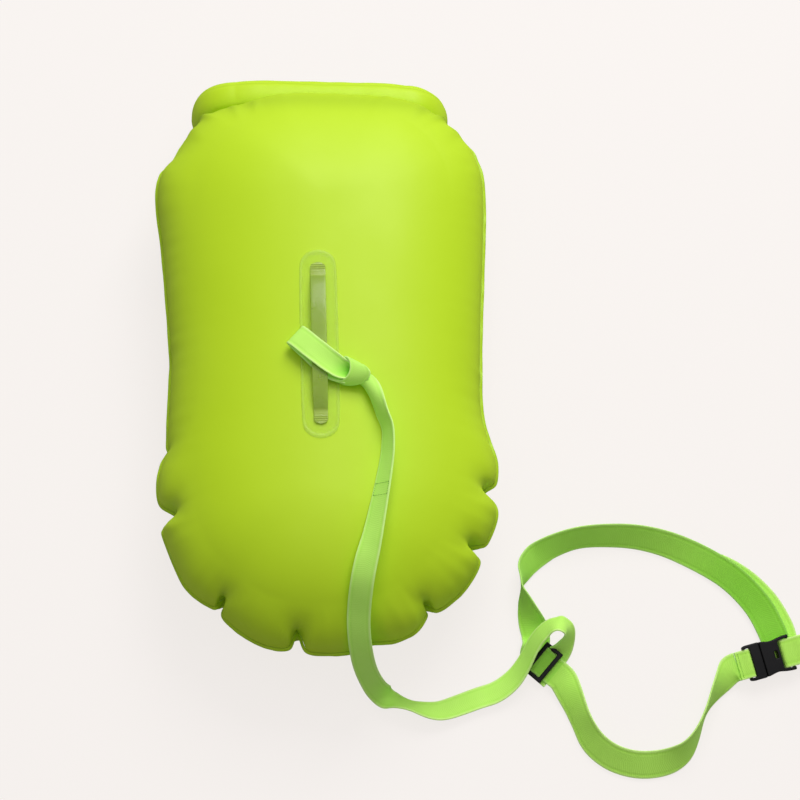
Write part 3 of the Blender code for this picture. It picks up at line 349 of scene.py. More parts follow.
def weave_effect():
    """Yarns over and under each other: the product of a sine along and a sine across.

    The height is nought to one, and the shade is the same, broken by a fine noise.
    """
    tree, given, made = effect("woven_yarns", [("Place", "Vector", None), ("Along", "Float", 800.0),
                                               ("Across", "Float", 1100.0), ("Slant", "Float", 0.0)],
                               [("Height", "Float"), ("Shade", "Float")])
    parts = add_node(tree, "SeparateXYZ", {0: given["Place"]}).outputs
    u = sums(tree, "MULTIPLY", parts[0], given["Along"])
    v = sums(tree, "MULTIPLY", parts[1], given["Across"])
    slanted = sums(tree, "MULTIPLY_ADD", v, given["Slant"], u)
    first = sums(tree, "SINE", sums(tree, "MULTIPLY", slanted, full_turn))
    second = sums(tree, "SINE", sums(tree, "MULTIPLY", v, full_turn))
    height = sums(tree, "MULTIPLY_ADD", sums(tree, "MULTIPLY", first, second), 0.5, 0.5)
    fine = add_node(tree, "TexNoise", {"Vector": given["Place"], "Scale": 900.0, "Detail": 2.0})
    shade = sums(tree, "MULTIPLY_ADD", sums(tree, "SUBTRACT", fine.outputs["Fac"], 0.5), 0.5, height)
    tree.links.new(height, made["Height"])
    tree.links.new(shade, made["Shade"])
    return tree


def grain_effect():
    """Moulded or coated grain: a fine noise for height and a broad one for a mask of handling."""
    tree, given, made = effect("surface_grain", [("Place", "Vector", None), ("Fine", "Float", 900.0),
                                                 ("Broad", "Float", 14.0)],
                               [("Height", "Float"), ("Handling", "Float")])
    fine = add_node(tree, "TexNoise", {"Vector": given["Place"], "Scale": given["Fine"], "Detail": 3.0})
    broad = add_node(tree, "TexNoise", {"Vector": given["Place"], "Scale": given["Broad"], "Detail": 4.0,
                                                  "Roughness": 0.6})
    tree.links.new(fine.outputs["Fac"], made["Height"])
    shown = add_node(tree, "MapRange", {"Value": broad.outputs["Fac"], "From Min": 0.3, "From Max": 0.7})
    tree.links.new(shown.outputs[0], made["Handling"])
    return tree


def start_finish(name):
    """A new finish, its nodes and its surface node."""
    made = bpy.data.materials.new(name)
    made.use_nodes = True
    tree = made.node_tree
    return made, tree, tree.nodes["Principled BSDF"]


def object_place(tree):
    """The place on the piece, in metres."""
    return add_node(tree, "TexCoord").outputs["Object"]


def mark(tree, name):
    """A shade or weld value that the piece carries on its points."""
    return add_node(tree, "Attribute", attribute_name=name).outputs["Fac"]


def woven(tree, place, along, across, slant=0.0):
    """Yarns at so many to the metre along and across; the slant adds its share of across to along."""
    return add_node(tree, "Group", {"Along": along, "Across": across, "Slant": slant, "Place": place},
                    node_tree=weave_group).outputs


def grained(tree, place, fine, broad):
    """Grain of a fine and a broad scale, in waves to the metre."""
    return add_node(tree, "Group", {"Fine": fine, "Broad": broad, "Place": place},
                    node_tree=grain_group).outputs


def blend_colours(tree, factor, first, second):
    """The second colour laid over the first by the factor; a colour is three numbers or a socket."""
    given = {index: (*value, 1.0) if isinstance(value, tuple) else value for index, value in ((6, first), (7, second))}
    return add_node(tree, "Mix", {0: factor, **given}, data_type="RGBA").outputs[2]


def bumps(tree, shader, steps):
    """Bump nodes one after another, each a height, a strength and a depth in metres."""
    normal = None
    for height, strength, depth in steps:
        given = {"Height": height, "Strength": strength, "Distance": depth}
        if normal is not None:
            given["Normal"] = normal
        normal = add_node(tree, "Bump", given).outputs[0]
    tree.links.new(normal, shader.inputs["Normal"])


def coated_fabric(name, colour, dark, light, roughness, folds=True):
    """Coated cloth: a faint square weave under the coat, soft mottling, and painted shade in creases, notch tips,
    puckers, the roll's edges and under the roll, by the piece's painted_shade mark.
    """
    made, tree, shader = start_finish(name)
    place = object_place(tree)
    yarns, grain = woven(tree, place, 900.0, 900.0), grained(tree, place, 420.0, 9.0)
    tone = blend_colours(tree, sums(tree, "MULTIPLY", grain["Handling"], 0.35), colour, light)
    tone = blend_colours(tree, sums(tree, "MULTIPLY", yarns["Shade"], 0.06), tone, dark)
    # Painted shade: the painted_shade mark darkens the cloth towards its dark colour.
    if folds:
        tone = blend_colours(tree, mark(tree, "painted_shade"), tone, dark)
    gloss = sums(tree, "MULTIPLY_ADD", grain["Handling"], -0.08, roughness + 0.04)
    facing = add_node(tree, "LayerWeight", {"Blend": 0.5}).outputs["Facing"]
    gloss = sums(tree, "MULTIPLY_ADD", sums(tree, "MULTIPLY", facing, facing), 0.5, gloss)
    feed(tree, shader, {"Base Color": tone, "Roughness": gloss, "Specular IOR Level": 0.42,
                        "Specular Tint": (0.9, 1.0, 0.7, 1.0)})
    bumps(tree, shader, [(grain["Handling"], 0.25, 0.0012), (yarns["Height"], 0.16, 0.00012)])
    return made


def webbing_finish(name, colour, dark, edge, width, roughness=0.72):
    """Woven strap: chevron yarns, a selvedge painted lighter as a painted highlight and a sunk line beside it painted
    darker as painted shade, by the strip's own map. It glows a little in its own colour: a painted glow that brightens
    the strap."""
    made, tree, shader = start_finish(name)
    uv = add_node(tree, "UVMap", uv_map="along_across").outputs[0]
    along, across, _ = add_node(tree, "SeparateXYZ", {0: uv}).outputs
    off_middle = sums(tree, "ABSOLUTE", across)
    folded = add_node(tree, "CombineXYZ", {0: along, 1: off_middle}).outputs[0]
    yarns, grain = woven(tree, folded, 520.0, 620.0, 0.8), grained(tree, uv, 1600.0, 45.0)
    # Painted highlight: the selvedges are painted lighter, towards the edge colour.
    painted_selvedge_highlight = add_node(tree, "MapRange", {"Value": off_middle, "From Min": width / 2.0 - 0.0026,
                                                   "From Max": width / 2.0 - 0.0012}).outputs[0]
    # Painted shade: the sunk line beside each selvedge is painted darker.
    line = sums(tree, "SUBTRACT", off_middle, width / 2.0 - 0.0040)
    line = sums(tree, "MULTIPLY", sums(tree, "MULTIPLY", line, line), -1.0 / (0.0008 ** 2))
    tone = blend_colours(tree, sums(tree, "MULTIPLY_ADD", yarns["Shade"], 0.35, 0.62), dark, colour)
    for field, share, towards in ((grain["Handling"], 0.18, dark), (painted_selvedge_highlight, 0.75, edge),
                                  (sums(tree, "EXPONENT", line), 0.35, dark)):
        tone = blend_colours(tree, sums(tree, "MULTIPLY", field, share), tone, towards)
    # Painted shade: the painted_shade mark turns the strap towards a deep, saturated green.
    tone = blend_colours(tree, mark(tree, "painted_shade"), tone, (0.14, 0.58, 0.004))
    # The emission is a painted glow in the strap's own colour, which brightens it.
    feed(tree, shader, {
        "Base Color": tone, "Emission Color": tone, "Emission Strength": 0.045,
        "Roughness": sums(tree, "MULTIPLY_ADD", grain["Handling"], 0.1, roughness), "Sheen Weight": 0.35,
        "Sheen Roughness": 0.5, "Sheen Tint": (0.6, 1.0, 0.35, 1.0), "Specular IOR Level": 0.3})
    bumps(tree, shader, [(yarns["Height"], 0.45, 0.0003), (grain["Height"], 0.25, 0.0001)])
    return made


def moulded_finish(name, colour, worn, roughness):
    """Moulded plastic: fine spark grain, handled patches smoother and a touch paler."""
    made, tree, shader = start_finish(name)
    grain = grained(tree, object_place(tree), 1800.0, 60.0)
    feed(tree, shader, {
        "Base Color": blend_colours(tree, sums(tree, "MULTIPLY", grain["Handling"], 0.6), colour, worn),
        "Roughness": sums(tree, "MULTIPLY_ADD", grain["Handling"], -0.12, roughness + 0.06),
        "Specular IOR Level": 0.12})
    bumps(tree, shader, [(grain["Height"], 0.3, 0.00008)])
    return made


def film_finish(name, colour, cloudy, clear, milky, roughness):
    """Clear film: mostly see-through, cloudier at its welds and along scuffs."""
    made, tree, shader = start_finish(name)
    grain = grained(tree, object_place(tree), 500.0, 60.0)
    cloud = sums(tree, "MULTIPLY_ADD", grain["Handling"], 0.15, mark(tree, "weld"))
    feed(tree, shader, {
        "Base Color": blend_colours(tree, cloud, colour, cloudy),
        "Alpha": add_node(tree, "MapRange", {"Value": cloud, "To Min": clear, "To Max": milky}).outputs[0],
        "Roughness": sums(tree, "MULTIPLY_ADD", grain["Handling"], 0.12, roughness),
        "Specular IOR Level": 0.4, "Coat Weight": 0.15, "Coat Roughness": 0.12})
    bumps(tree, shader, [(grain["Handling"], 0.3, 0.0008), (grain["Height"], 0.1, 0.0001)])
    return made


weave_group, grain_group = weave_effect(), grain_effect()
finishes = {name: make(name, *look) for make, name, *look in (
    # A coated fabric's dark colour is also the colour its painted shade turns towards.
    (coated_fabric, "lime_coated_fabric", (0.515, 0.752, 0.011), (0.25, 0.41, 0.001), (0.550, 0.785, 0.022), 0.46),
    (coated_fabric, "lime_weld", (0.42, 0.64, 0.012), (0.3, 0.5, 0.006), (0.48, 0.72, 0.02), 0.46, False),
    (coated_fabric, "inner_liner", (0.5, 0.72, 0.1), (0.36, 0.55, 0.04), (0.6, 0.8, 0.16), 0.5, False),
    (film_finish, "clear_film", (0.60, 0.84, 0.07), (0.68, 0.90, 0.13), 0.12, 0.26, 0.34),
    (film_finish, "strip_film", (0.30, 0.46, 0.024), (0.42, 0.58, 0.07), 0.58, 0.68, 0.24),
    # A webbing's third colour is its painted selvedge highlight.
    (webbing_finish, "spring_green_webbing", (0.58, 0.98, 0.175), (0.44, 0.89, 0.09), (0.69, 0.99, 0.31), tether_width),
    (webbing_finish, "green_belt_webbing", (0.55, 0.97, 0.150), (0.42, 0.86, 0.07), (0.66, 0.98, 0.28), belt_width),
    (moulded_finish, "stitch_thread", (0.15, 0.42, 0.04), (0.22, 0.50, 0.07), 0.7),
    (moulded_finish, "black_plastic", (0.004, 0.004, 0.005), (0.009, 0.009, 0.010), 0.34),
    (moulded_finish, "valve_plastic", (0.040, 0.041, 0.043), (0.07, 0.07, 0.072), 0.38),
    (moulded_finish, "seal_rubber", (0.09, 0.09, 0.09), (0.13, 0.13, 0.13), 0.7))}


# ---------------------------------------------------------------- webbing
def strap_section(width, columns=26):
    """A strap's section: a flat face with a thick selvedge and a sunk line, round at both edges."""
    half = webbing_thickness / 2.0
    flat = width / 2.0 - half
    s = np.linspace(-flat, flat, columns)
    rise = half + 0.00018 * bell(np.abs(s) - flat + 0.0006, 0.0007)
    rise -= 0.00028 * bell(np.abs(s) - flat + 0.0032, 0.0006)
    turn = np.radians((60.0, 20.0, -20.0, -60.0))
    edge = rise[-1]
    return np.concatenate([np.stack([s, rise], 1), np.stack([flat + half * np.cos(turn), edge * np.sin(turn)], 1),
                           np.stack([s[::-1], -rise[::-1]], 1),
                           np.stack([-flat - half * np.cos(turn), -edge * np.sin(turn)], 1)])


def strap(name, middles, across, width, finish="green_belt_webbing", curl=None, **more):
    """A strap's section carried along its middles; curl bends the section into a trough."""
    across, out = square_frames(middles, across)
    section = strap_section(width)
    s, h = section[:, 0][None, :, None], section[:, 1][None, :, None]
    flat = across[:, None] * s + out[:, None] * h
    if curl is not None:
        k = np.where(np.abs(curl) < 1.0, 1.0, curl)[:, None, None]
        bend, ring = k * s, 1.0 / k
        bent = across[:, None] * np.sin(bend) * (ring - h) + out[:, None] * (ring - (ring - h) * np.cos(bend))
        flat = np.where(np.abs(curl)[:, None, None] < 1.0, flat, bent)
    return tube(name, middles[:, None] + flat, finish, uv=(run_length(middles), section[:, 0]), inside_out=True, **more)


def stitches(name, middles, across, offsets, pitch, span, lie="across", **more):
    """Rows of thread: each stitch is a bowed capsule, a circle of five carried over five stations."""
    thread, stitch_points = 0.00032, 25
    across, out = square_frames(middles, across)
    along = unit(np.gradient(middles, axis=0))
    reach = run_length(middles)
    at = np.tile(np.arange(*span, pitch), len(offsets))
    side = np.repeat(offsets, len(at) // len(offsets))[:, None, None]
    middle, ahead, beside, up = (read_off(at, reach, field)[:, None] for field in (middles, along, across, out))
    u = np.repeat(np.array((-1.0, -0.8, 0.0, 0.8, 1.0)), 5)
    ring = np.tile(whole_turn(5), 5)
    radius = thread * np.repeat(np.array((0.3, 0.85, 1.0, 0.85, 0.3)), 5)
    lift = webbing_thickness / 2.0 + 0.00012 - 0.0003 * u ** 2
    if lie == "across":
        ahead, beside = beside, -ahead
        middle = middle + ahead * side
        side = 0.0
    points = (middle + ahead * (u * (0.36 * pitch))[None, :, None] + up * (lift + radius * np.sin(ring))[None, :, None]
              + beside * (side + (radius * np.cos(ring))[None, :, None]))
    starts = stitch_points * np.arange(len(at))[:, None]
    ends = np.concatenate([np.arange(5)[::-1][None] + starts, 20 + np.arange(5)[None] + starts])
    return piece(name, points, (grid(5, 5)[0][None] + starts[:, None]).reshape(-1, 4), list(ends), "stitch_thread",
                 sharp=80.0, **more)


def eased(field, spread):
    """The rows of the field drawn smooth by a bell curve of so many rows, its ends held."""
    reach = np.arange(-4 * spread, 4 * spread + 1)
    weights = np.exp(-0.5 * (reach / spread) ** 2)
    padded = np.concatenate([2 * field[0] - field[reach[-1]:0:-1], field, 2 * field[-1] - field[-2:-reach[-1] - 2:-1]])
    return np.stack([np.convolve(padded[:, axis], weights / weights.sum(), "valid") for axis in range(3)], 1)


def tether():
    """Out of the knot with its edges curled down, then down the bag and up through its loop. Where it
    lies on the front panel it is lifted until each point of its section stands clear."""
    middles, across = laid_strip(tether_route, tether_width)
    middles, across = eased(middles, 2), unit(eased(across, 2))
    along = run_length(middles)
    curl = -150.0 * (1.0 - step_between(along, 0.006, 0.062))
    wide, out = square_frames(middles, across)
    k = np.minimum(curl, -1.0)[:, None]
    s = np.linspace(-0.5, 0.5, 9)[None] * tether_width
    section = (middles[:, None] + wide[:, None] * (np.sin(k * s) / k)[:, :, None]
               + out[:, None] * ((1.0 - np.cos(k * s)) / k)[:, :, None])
    short = front_height(section[:, :, 0], section[:, :, 1]) + 0.0016 - section[:, :, 2]
    lift = np.clip(short.max(1), 0.0, None) * (1.0 - step_between(along, 0.20, 0.265))
    middles[:, 2] += eased(np.stack([np.maximum.reduce([lift, np.roll(lift, 2), np.roll(lift, -2)])] * 3, 1), 3)[:, 0]
    webbing = "spring_green_webbing"
    made = strap("tether_strap", middles, across, tether_width, webbing, curl=curl, replaces=["tether_webbing"])
    # The sewn block: two rows across the strap and one beside each edge between them.
    upper, lower = np.interp((0.1675, 0.1801), -middles[:, 1], along)
    pitch = 0.0024
    rows = np.arange(-0.0096, 0.0097, pitch)
    seams = [stitches("tether_seam_rows", middles, across, rows, pitch, (upper, upper + 0.001), slot=webbing),
             stitches("tether_seam_foot", middles, across, rows, pitch, (lower, lower + 0.001), slot=webbing),
             stitches("tether_seam_sides", middles, across, np.array((-0.0102, 0.0102)), pitch, (upper, lower),
                      lie="along", slot=webbing)]


def through_slider(middles, across):
    """The far run carried on smoothly under the slider's bars to the end of its travel."""
    ahead, side, under = slider_axes[0], slider_axes[1], slider_axes[2] * 0.0024
    ends = [slider_centre + ahead * reach - under * share
            for reach, share in ((-0.0125, 1.0), (-0.003, 0.6), (0.006, 0.8), (0.0203, 1.0))]
    middles, across = drawn_on([*middles[::5], *ends], [*across[::5], *[side] * 4])
    return middles, unit(across)


def belt():
    """The far run with its doubled end at the socket, then the near run from slider to plug."""
    middles, across = through_slider(*laid_strip(belt_far_route, belt_width))
    middles, across = middles[::-1], across[::-1]
    # Painted shade on the far run, deeper towards the buckle.
    deep = (0.25 + 0.38 * step_between(middles[:, 0], 0.36, 0.46))[:, None] * np.ones((1, 60))
    far = strap("belt_far_strap", middles, across, belt_width, replaces=["belt_far_run"], marks={"painted_shade": deep})
    tail = adjuster_end()
    layer = strap("belt_tail_layer", *laid_strip(belt_tail_route, belt_width), belt_width)
    near, near_across = laid_strip(belt_near_route, belt_width)
    ahead, side = slider_axes[:2]
    start = slider_centre + ahead * 0.0168
    end = buckle_centre - buckle_axes[0] * 0.0343 - buckle_axes[2] * 0.00095
    middles, across = drawn_on(
        [start, start + ahead * 0.005, start + ahead * 0.010, *near[10::5], end - buckle_axes[0] * 0.006, end],
        [side, side, side, *near_across[10::5], buckle_axes[1], buckle_axes[1]])
    middles, across = eased(middles, 2), unit(eased(across, 2))
    run = strap("belt_near_strap", middles, across, belt_width, body=None, replaces=["belt_near_run"])
    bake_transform(run)
    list(sewn_end())


def hairpin(start, bend, gap, sewn_gap, sewn_length, steps=14):
    """A strip's line along X: out on one face, round a bar at bend, back on the other."""
    radius, sewn = (gap + webbing_thickness) / 2.0, (sewn_gap + webbing_thickness) / 2.0
    towards = 1.0 if bend > start else -1.0
    turn = np.linspace(0.0, math.pi, steps + 1)
    arc = np.stack([bend + towards * radius * np.sin(turn), radius * np.cos(turn)], 1)
    sewn_end = start + towards * sewn_length
    out = np.stack([np.linspace(start, sewn_end, 6), np.full(6, sewn)], 1)
    back = np.stack([np.linspace(sewn_end, start, 6), np.full(6, -sewn)], 1)
    return np.concatenate([out, arc, back])


def in_axes(line, centre, axes):
    """Points of a line in the X and Z of a set of axes."""
    return centre + line[:, :1] * axes[0] + line[:, 1:] * axes[2]


def sewn_end():
    """The near run's end, sewn round the plug's bar in the buckle's own axes, and its stitched line."""
    middles = in_axes(hairpin(-0.034, -0.0214, 0.00428, 0.0003, 0.0068), buckle_centre, buckle_axes)
    made = strap("belt_sewn_loop", middles, buckle_axes[1], belt_width, body="belt_plug", replaces=["belt_sewn_end"])
    top = in_axes(np.stack([np.linspace(-0.0335, -0.0275, 7), np.full(7, 0.00095)], 1), buckle_centre, buckle_axes)
    pitch = 0.0021
    seam = stitches("belt_sewn_line", top, buckle_axes[1], np.arange(-0.0126, 0.0127, pitch), pitch, (0.0022, 0.003),
                    body="belt_plug", slot="green_belt_webbing")
    return made, seam


def adjuster_end():
    """Under the socket, up round the ladder bar and on to the right, in the buckle's own axes."""
    bar, radius, under, reach = 0.0178, 0.00294, -0.0066, 0.034
    turn = np.radians(np.linspace(20.0, 180.0, 7))
    line = np.concatenate([
        [(0.0, under), (0.0206, under), (reach - 0.0022, under + 0.0008), (reach + 0.0022, under / 2.0),
         (reach, -radius + 0.00053), (0.0246, -radius), (bar, -radius)],
        np.stack([bar - radius * np.sin(turn), -radius * np.cos(turn)], 1),
        [(bar + 0.009, radius + 0.00053), (reach + 0.0022, radius + 0.0016), (reach + 0.012, radius - 0.0008),
         (reach + 0.024, -radius - 0.0008), (reach + 0.036, under + 0.0008)]])
    middles = in_axes(spline(line, 0.001), buckle_centre, buckle_axes)
    return strap("belt_adjuster_strap", middles, buckle_axes[1], belt_width, replaces=["belt_adjuster_end"])


# ---------------------------------------------------------------- bag
def weld_outline(samples=760):
    """The weld's outer edge at even steps: cubics from row to row, with a sharp turn at each notch."""
    rows = np.concatenate([outline_rows * (half_width, half_length, 1.0), crown_rows * (half_width, neck_y, 1.0)])
    start, sharp = rows[:, :2], rows[:, 2] > 0.5
    end, after, before = np.roll(start, -1, 0), np.roll(start, -2, 0), np.roll(start, 1, 0)
    before = np.where(sharp[:, None], 2 * start - end, before)
    after = np.where(np.roll(sharp, -1)[:, None], 2 * end - start, after)
    t = (np.arange(16) / 16.0)[None, :, None]
    curve = cubic_between(before[:, None], start[:, None], end[:, None], after[:, None], t).reshape(-1, 2)
    ring = np.vstack([curve, curve[:1]])
    along = run_length(ring)
    even = np.arange(samples) / samples * along[-1]
    tips = along[:-1][::16][sharp]
    even[np.abs(even[None] - tips[:, None]).argmin(1)] = tips
    return read_off(even, along, ring)


def inset(points, distance):
    """The clockwise outline moved inwards, each corner along the line that halves it."""
    edges = unit(np.roll(points, -1, axis=0) - points)
    normals = np.stack([edges[:, 1], -edges[:, 0]], axis=1)
    middle = unit(normals + np.roll(normals, 1, axis=0))
    reach = np.clip((middle * normals).sum(1), 0.6, 1.0)
    return points + middle * (distance / reach)[:, None]


def smoothed(points, spread):
    """The closed line drawn smooth by a bell curve of the spread, through its waves."""
    perimeter = np.linalg.norm(np.roll(points, -1, axis=0) - points, axis=1).sum()
    waves = np.fft.fftfreq(len(points), 1.0 / len(points))
    fade = np.exp(-0.5 * (full_turn * waves * spread / perimeter) ** 2)
    return np.real(np.fft.ifft(np.fft.fft(points, axis=0) * fade[:, None], axis=0))


outline = weld_outline()
edge = inset(outline, weld_width)
soft_edge = smoothed(edge, 0.030)
# The distance along the weld at each of its points.
weld_run = 1.75
edge_along = np.arange(len(edge)) / len(edge) * weld_run


def soft_between(value, low, high, ease=0.030):
    """The value held between two limits, easing into each."""
    upper = high - ease * np.log1p(np.exp((high - value) / ease))
    return low + ease * np.log1p(np.exp((upper - low) / ease))


def shell_points(side, depth, rings=84):
    """Half a pillow. A ring is the weld drawn towards the spine by the cosine of its turn, and its
    height is the depth times the sine, so the section is a quarter ellipse. Each ring is drawn
    smoother than the one below it, by a bell curve that widens with its way in, so a notch opens
    and fades up the side. The creases and puckers are then pressed in square to the surface."""
    turn = np.linspace(0.0, math.acos(0.004), rings)[:, None, None]
    share = np.cos(turn)
    spreads = 0.034 * np.clip((1.0 - share[:, 0, 0]) / 0.21, 0.0, 1.0) ** 1.1
    ring = np.stack([smoothed(edge, spread) for spread in spreads])
    spine = np.stack([np.zeros(len(edge)), soft_between(soft_edge[:, 1], spine_low, spine_high)], 1)
    flat = spine[None] + (ring - spine[None]) * share
    if side > 0:
        # The crown of the front chamber swells out over the foot of the roll.
        crown = step_between(soft_edge[:, 1], 0.235, 0.262) / (1.0 + ((soft_edge[:, 0] - 0.008) / 0.100) ** 6)
        rise = np.degrees(turn[:, :, 0])
        swell = step_between(rise, 2.0, 17.0) * (1.0 - step_between(rise, 18.0, 74.0))
        flat[:, :, 1] += crown_swell * crown[None] * swell
    height = seam_z + side * (seam_gap + depth * np.sin(turn[:, :, 0]))
    base = np.concatenate([flat, np.broadcast_to(height, flat.shape[:2])[:, :, None]], axis=2)
    down = np.gradient(base, axis=0)
    round_ = (np.roll(base, -1, axis=1) - np.roll(base, 1, axis=1)) / 2.0
    normal = unit(np.cross(round_, down) + 1e-12) * side
    press, shade = crease_field(base)
    # Puckers along the weld and a little slack in the middle; painted shade in the puckers' hollows and round the notch
    # tips.
    from_edge = (1.0 - share[:, :, 0]) * np.linalg.norm(edge - spine, axis=1)[None]
    reach = soft_edge[:, 1]
    strength = 0.30 + 0.15 * step_between(-reach, 0.08, 0.20) + 0.45 * step_between(reach, 0.20, 0.26)
    pucker = ripple(edge_along, 0.026, 11 if side > 0 else 17)[None] * strength[None]
    window = np.exp(-from_edge / 0.016) * (1.0 - np.exp(-from_edge / 0.003))
    press = press + 0.0008 * (pucker - 0.6) * window
    lull = ripple(base[:, :, 0] + 0.4 * base[:, :, 1], 0.16, 23) * ripple(base[:, :, 1], 0.21, 29)
    away = step_between(np.abs(base[:, :, 0]), 0.03, 0.09)
    press = press - 0.0006 * (1.0 + np.clip(lull, -1.0, 1.0)) * away
    press[0] = 0.0
    shade = shade + 0.14 * step_between(-pucker * window, 0.25, 1.1)
    # Painted shade round the tip of each notch.
    tips = outline_rows[outline_rows[:, 2] > 0.5][:, :2] * (half_width, half_length)
    from_tip = np.sqrt(((base[:, :, None, :2] - tips[None, None]) ** 2).sum(3)).min(2)
    shade = shade + 0.6 * bell(from_tip, 0.0042)
    if side > 0:
        # Painted shadow of the roll, cast on the front panel just below its foot.
        painted_roll_shadow = bell(neck_y - 0.006 - base[:, :, 1], 0.015) * (np.abs(base[:, :, 0]) < 0.16)
        shade = shade + 0.34 * painted_roll_shadow
    points = base + normal * press[:, :, None]
    if side < 0:
        points = drawn_to_valves(points)
    return points, np.clip(shade, 0.0, 1.0)


def drawn_to_valves(points):
    """The panel drawn flat against each valve's welded flange: level with its foot below the
    flange, then fading into the panel along an eased step of the distance from the valve's axis."""
    for foot, axis in valve_seats:
        offset = points - foot
        level = offset @ axis
        reach = np.linalg.norm(offset - level[:, :, None] * axis, axis=2)
        hold = (1.0 - step_between(reach, 0.0172, 0.036)) * (np.abs(level) < 0.030)
        points = points + axis * ((-0.0002 - level) * hold)[:, :, None]
    return points


def crease_field(base):
    """Depth and painted shade of the creases: a bell across each, fading by its square along it."""
    x, y = base[None, :, :, 0], base[None, :, :, 1]
    cx, cy, heading, length, deep, wide = [column[:, None, None] for column in creases.T]
    heading, length, deep, wide = np.radians(heading), length * MM, deep * MM, wide * MM
    dx, dy = x - cx * MM, y - cy * MM
    u = dx * np.cos(heading) + dy * np.sin(heading)
    v = dy * np.cos(heading) - dx * np.sin(heading)
    run = (1.0 - np.clip(u / length, 0.0, 1.0)) ** 2 * step_between(u, -0.014, -0.004)
    groove = run * bell(v, wide)
    ridge = run * bell(np.abs(v) - 2.7 * wide, 1.5 * wide)
    press = (-deep * groove + 0.22 * deep * ridge).sum(0)
    return press, (groove * deep / 0.004).sum(0) * 0.75


def bag():
    """The two panels, and the weld: a thin strip with a rounded section, laid out from the panels' edge.
    It droops by an angle that grows towards the foot, and waves up and down by the square of the way out."""
    for label, side, depth in (("front", 1.0, front_depth), ("back", -1.0, back_depth)):
        points, shade = shell_points(side, depth)
        made = tube("bag_" + label + "_panel", points, "lime_coated_fabric", marks={"painted_shade": shade},
                    replaces=[label + "_air_chamber"], inside_out=side > 0, sharp=60.0)
    inner = inset(outline, weld_width - 0.0003)
    turn = whole_turn(14)
    wide, high = 0.5 + 0.5 * np.cos(turn), 0.0006 * powered(np.sin(turn), 0.5)
    wave = 0.0005 * ripple(edge_along, 0.017, 5)
    droop = np.radians(18.0 + 24.0 * step_between(-outline[:, 1], 0.06, 0.20) + 7.0 * ripple(edge_along, 0.05, 7))
    flat = inner[:, None] + (outline - inner)[:, None] * (wide[None] * np.cos(droop)[:, None])[:, :, None]
    height = seam_z + high[None] + wave[:, None] * wide[None] ** 2 - weld_width * np.sin(droop)[:, None] * wide[None]
    tube("edge_weld", np.concatenate([flat, height[:, :, None]], 2), "lime_weld", loop=True, replaces=["welded_rim"])


def mouth_line():
    """The U of the rolled mouth from its back left end to its back right end."""
    back = roll_top_z - 2.0 * roll_bend
    left, right = roll_middle_x - roll_half_run, roll_middle_x + roll_half_run
    turn = np.linspace(0.0, math.pi, 40)
    down = np.stack([left - np.sin(turn) * roll_bend, roll_top_z - roll_bend * (1.0 + np.cos(turn))], 1)
    over = np.stack([right + np.sin(turn) * roll_bend, roll_top_z - roll_bend * (1.0 - np.cos(turn))], 1)
    top = np.stack([np.linspace(left, right, 70)[1:-1], np.full(68, roll_top_z)], 1)
    x, z = np.concatenate([[(left + roll_return, back)], down, top, over, [(right - roll_return, back)]]).T
    # The real mouth falls away sooner and bulges further out than half a circle.
    beyond = np.maximum(np.maximum(left - x, x - right), 0.0) / roll_bend
    outwards = np.sign(x - roll_middle_x)
    left_bulge, right_bulge, drop, drop_run = 0.0058, 0.0022, 0.0030, 0.030
    x = x + outwards * np.where(outwards < 0, left_bulge, right_bulge) * beyond
    near_end = np.clip((np.abs(x - roll_middle_x) - (roll_half_run - drop_run)) / drop_run, 0.0, 1.0)
    z = z - drop * near_end ** 2 * (z > back + roll_bend)
    return np.stack([x, roll_axis_y - (roll_top_z - z) * roll_lean, z], 1)


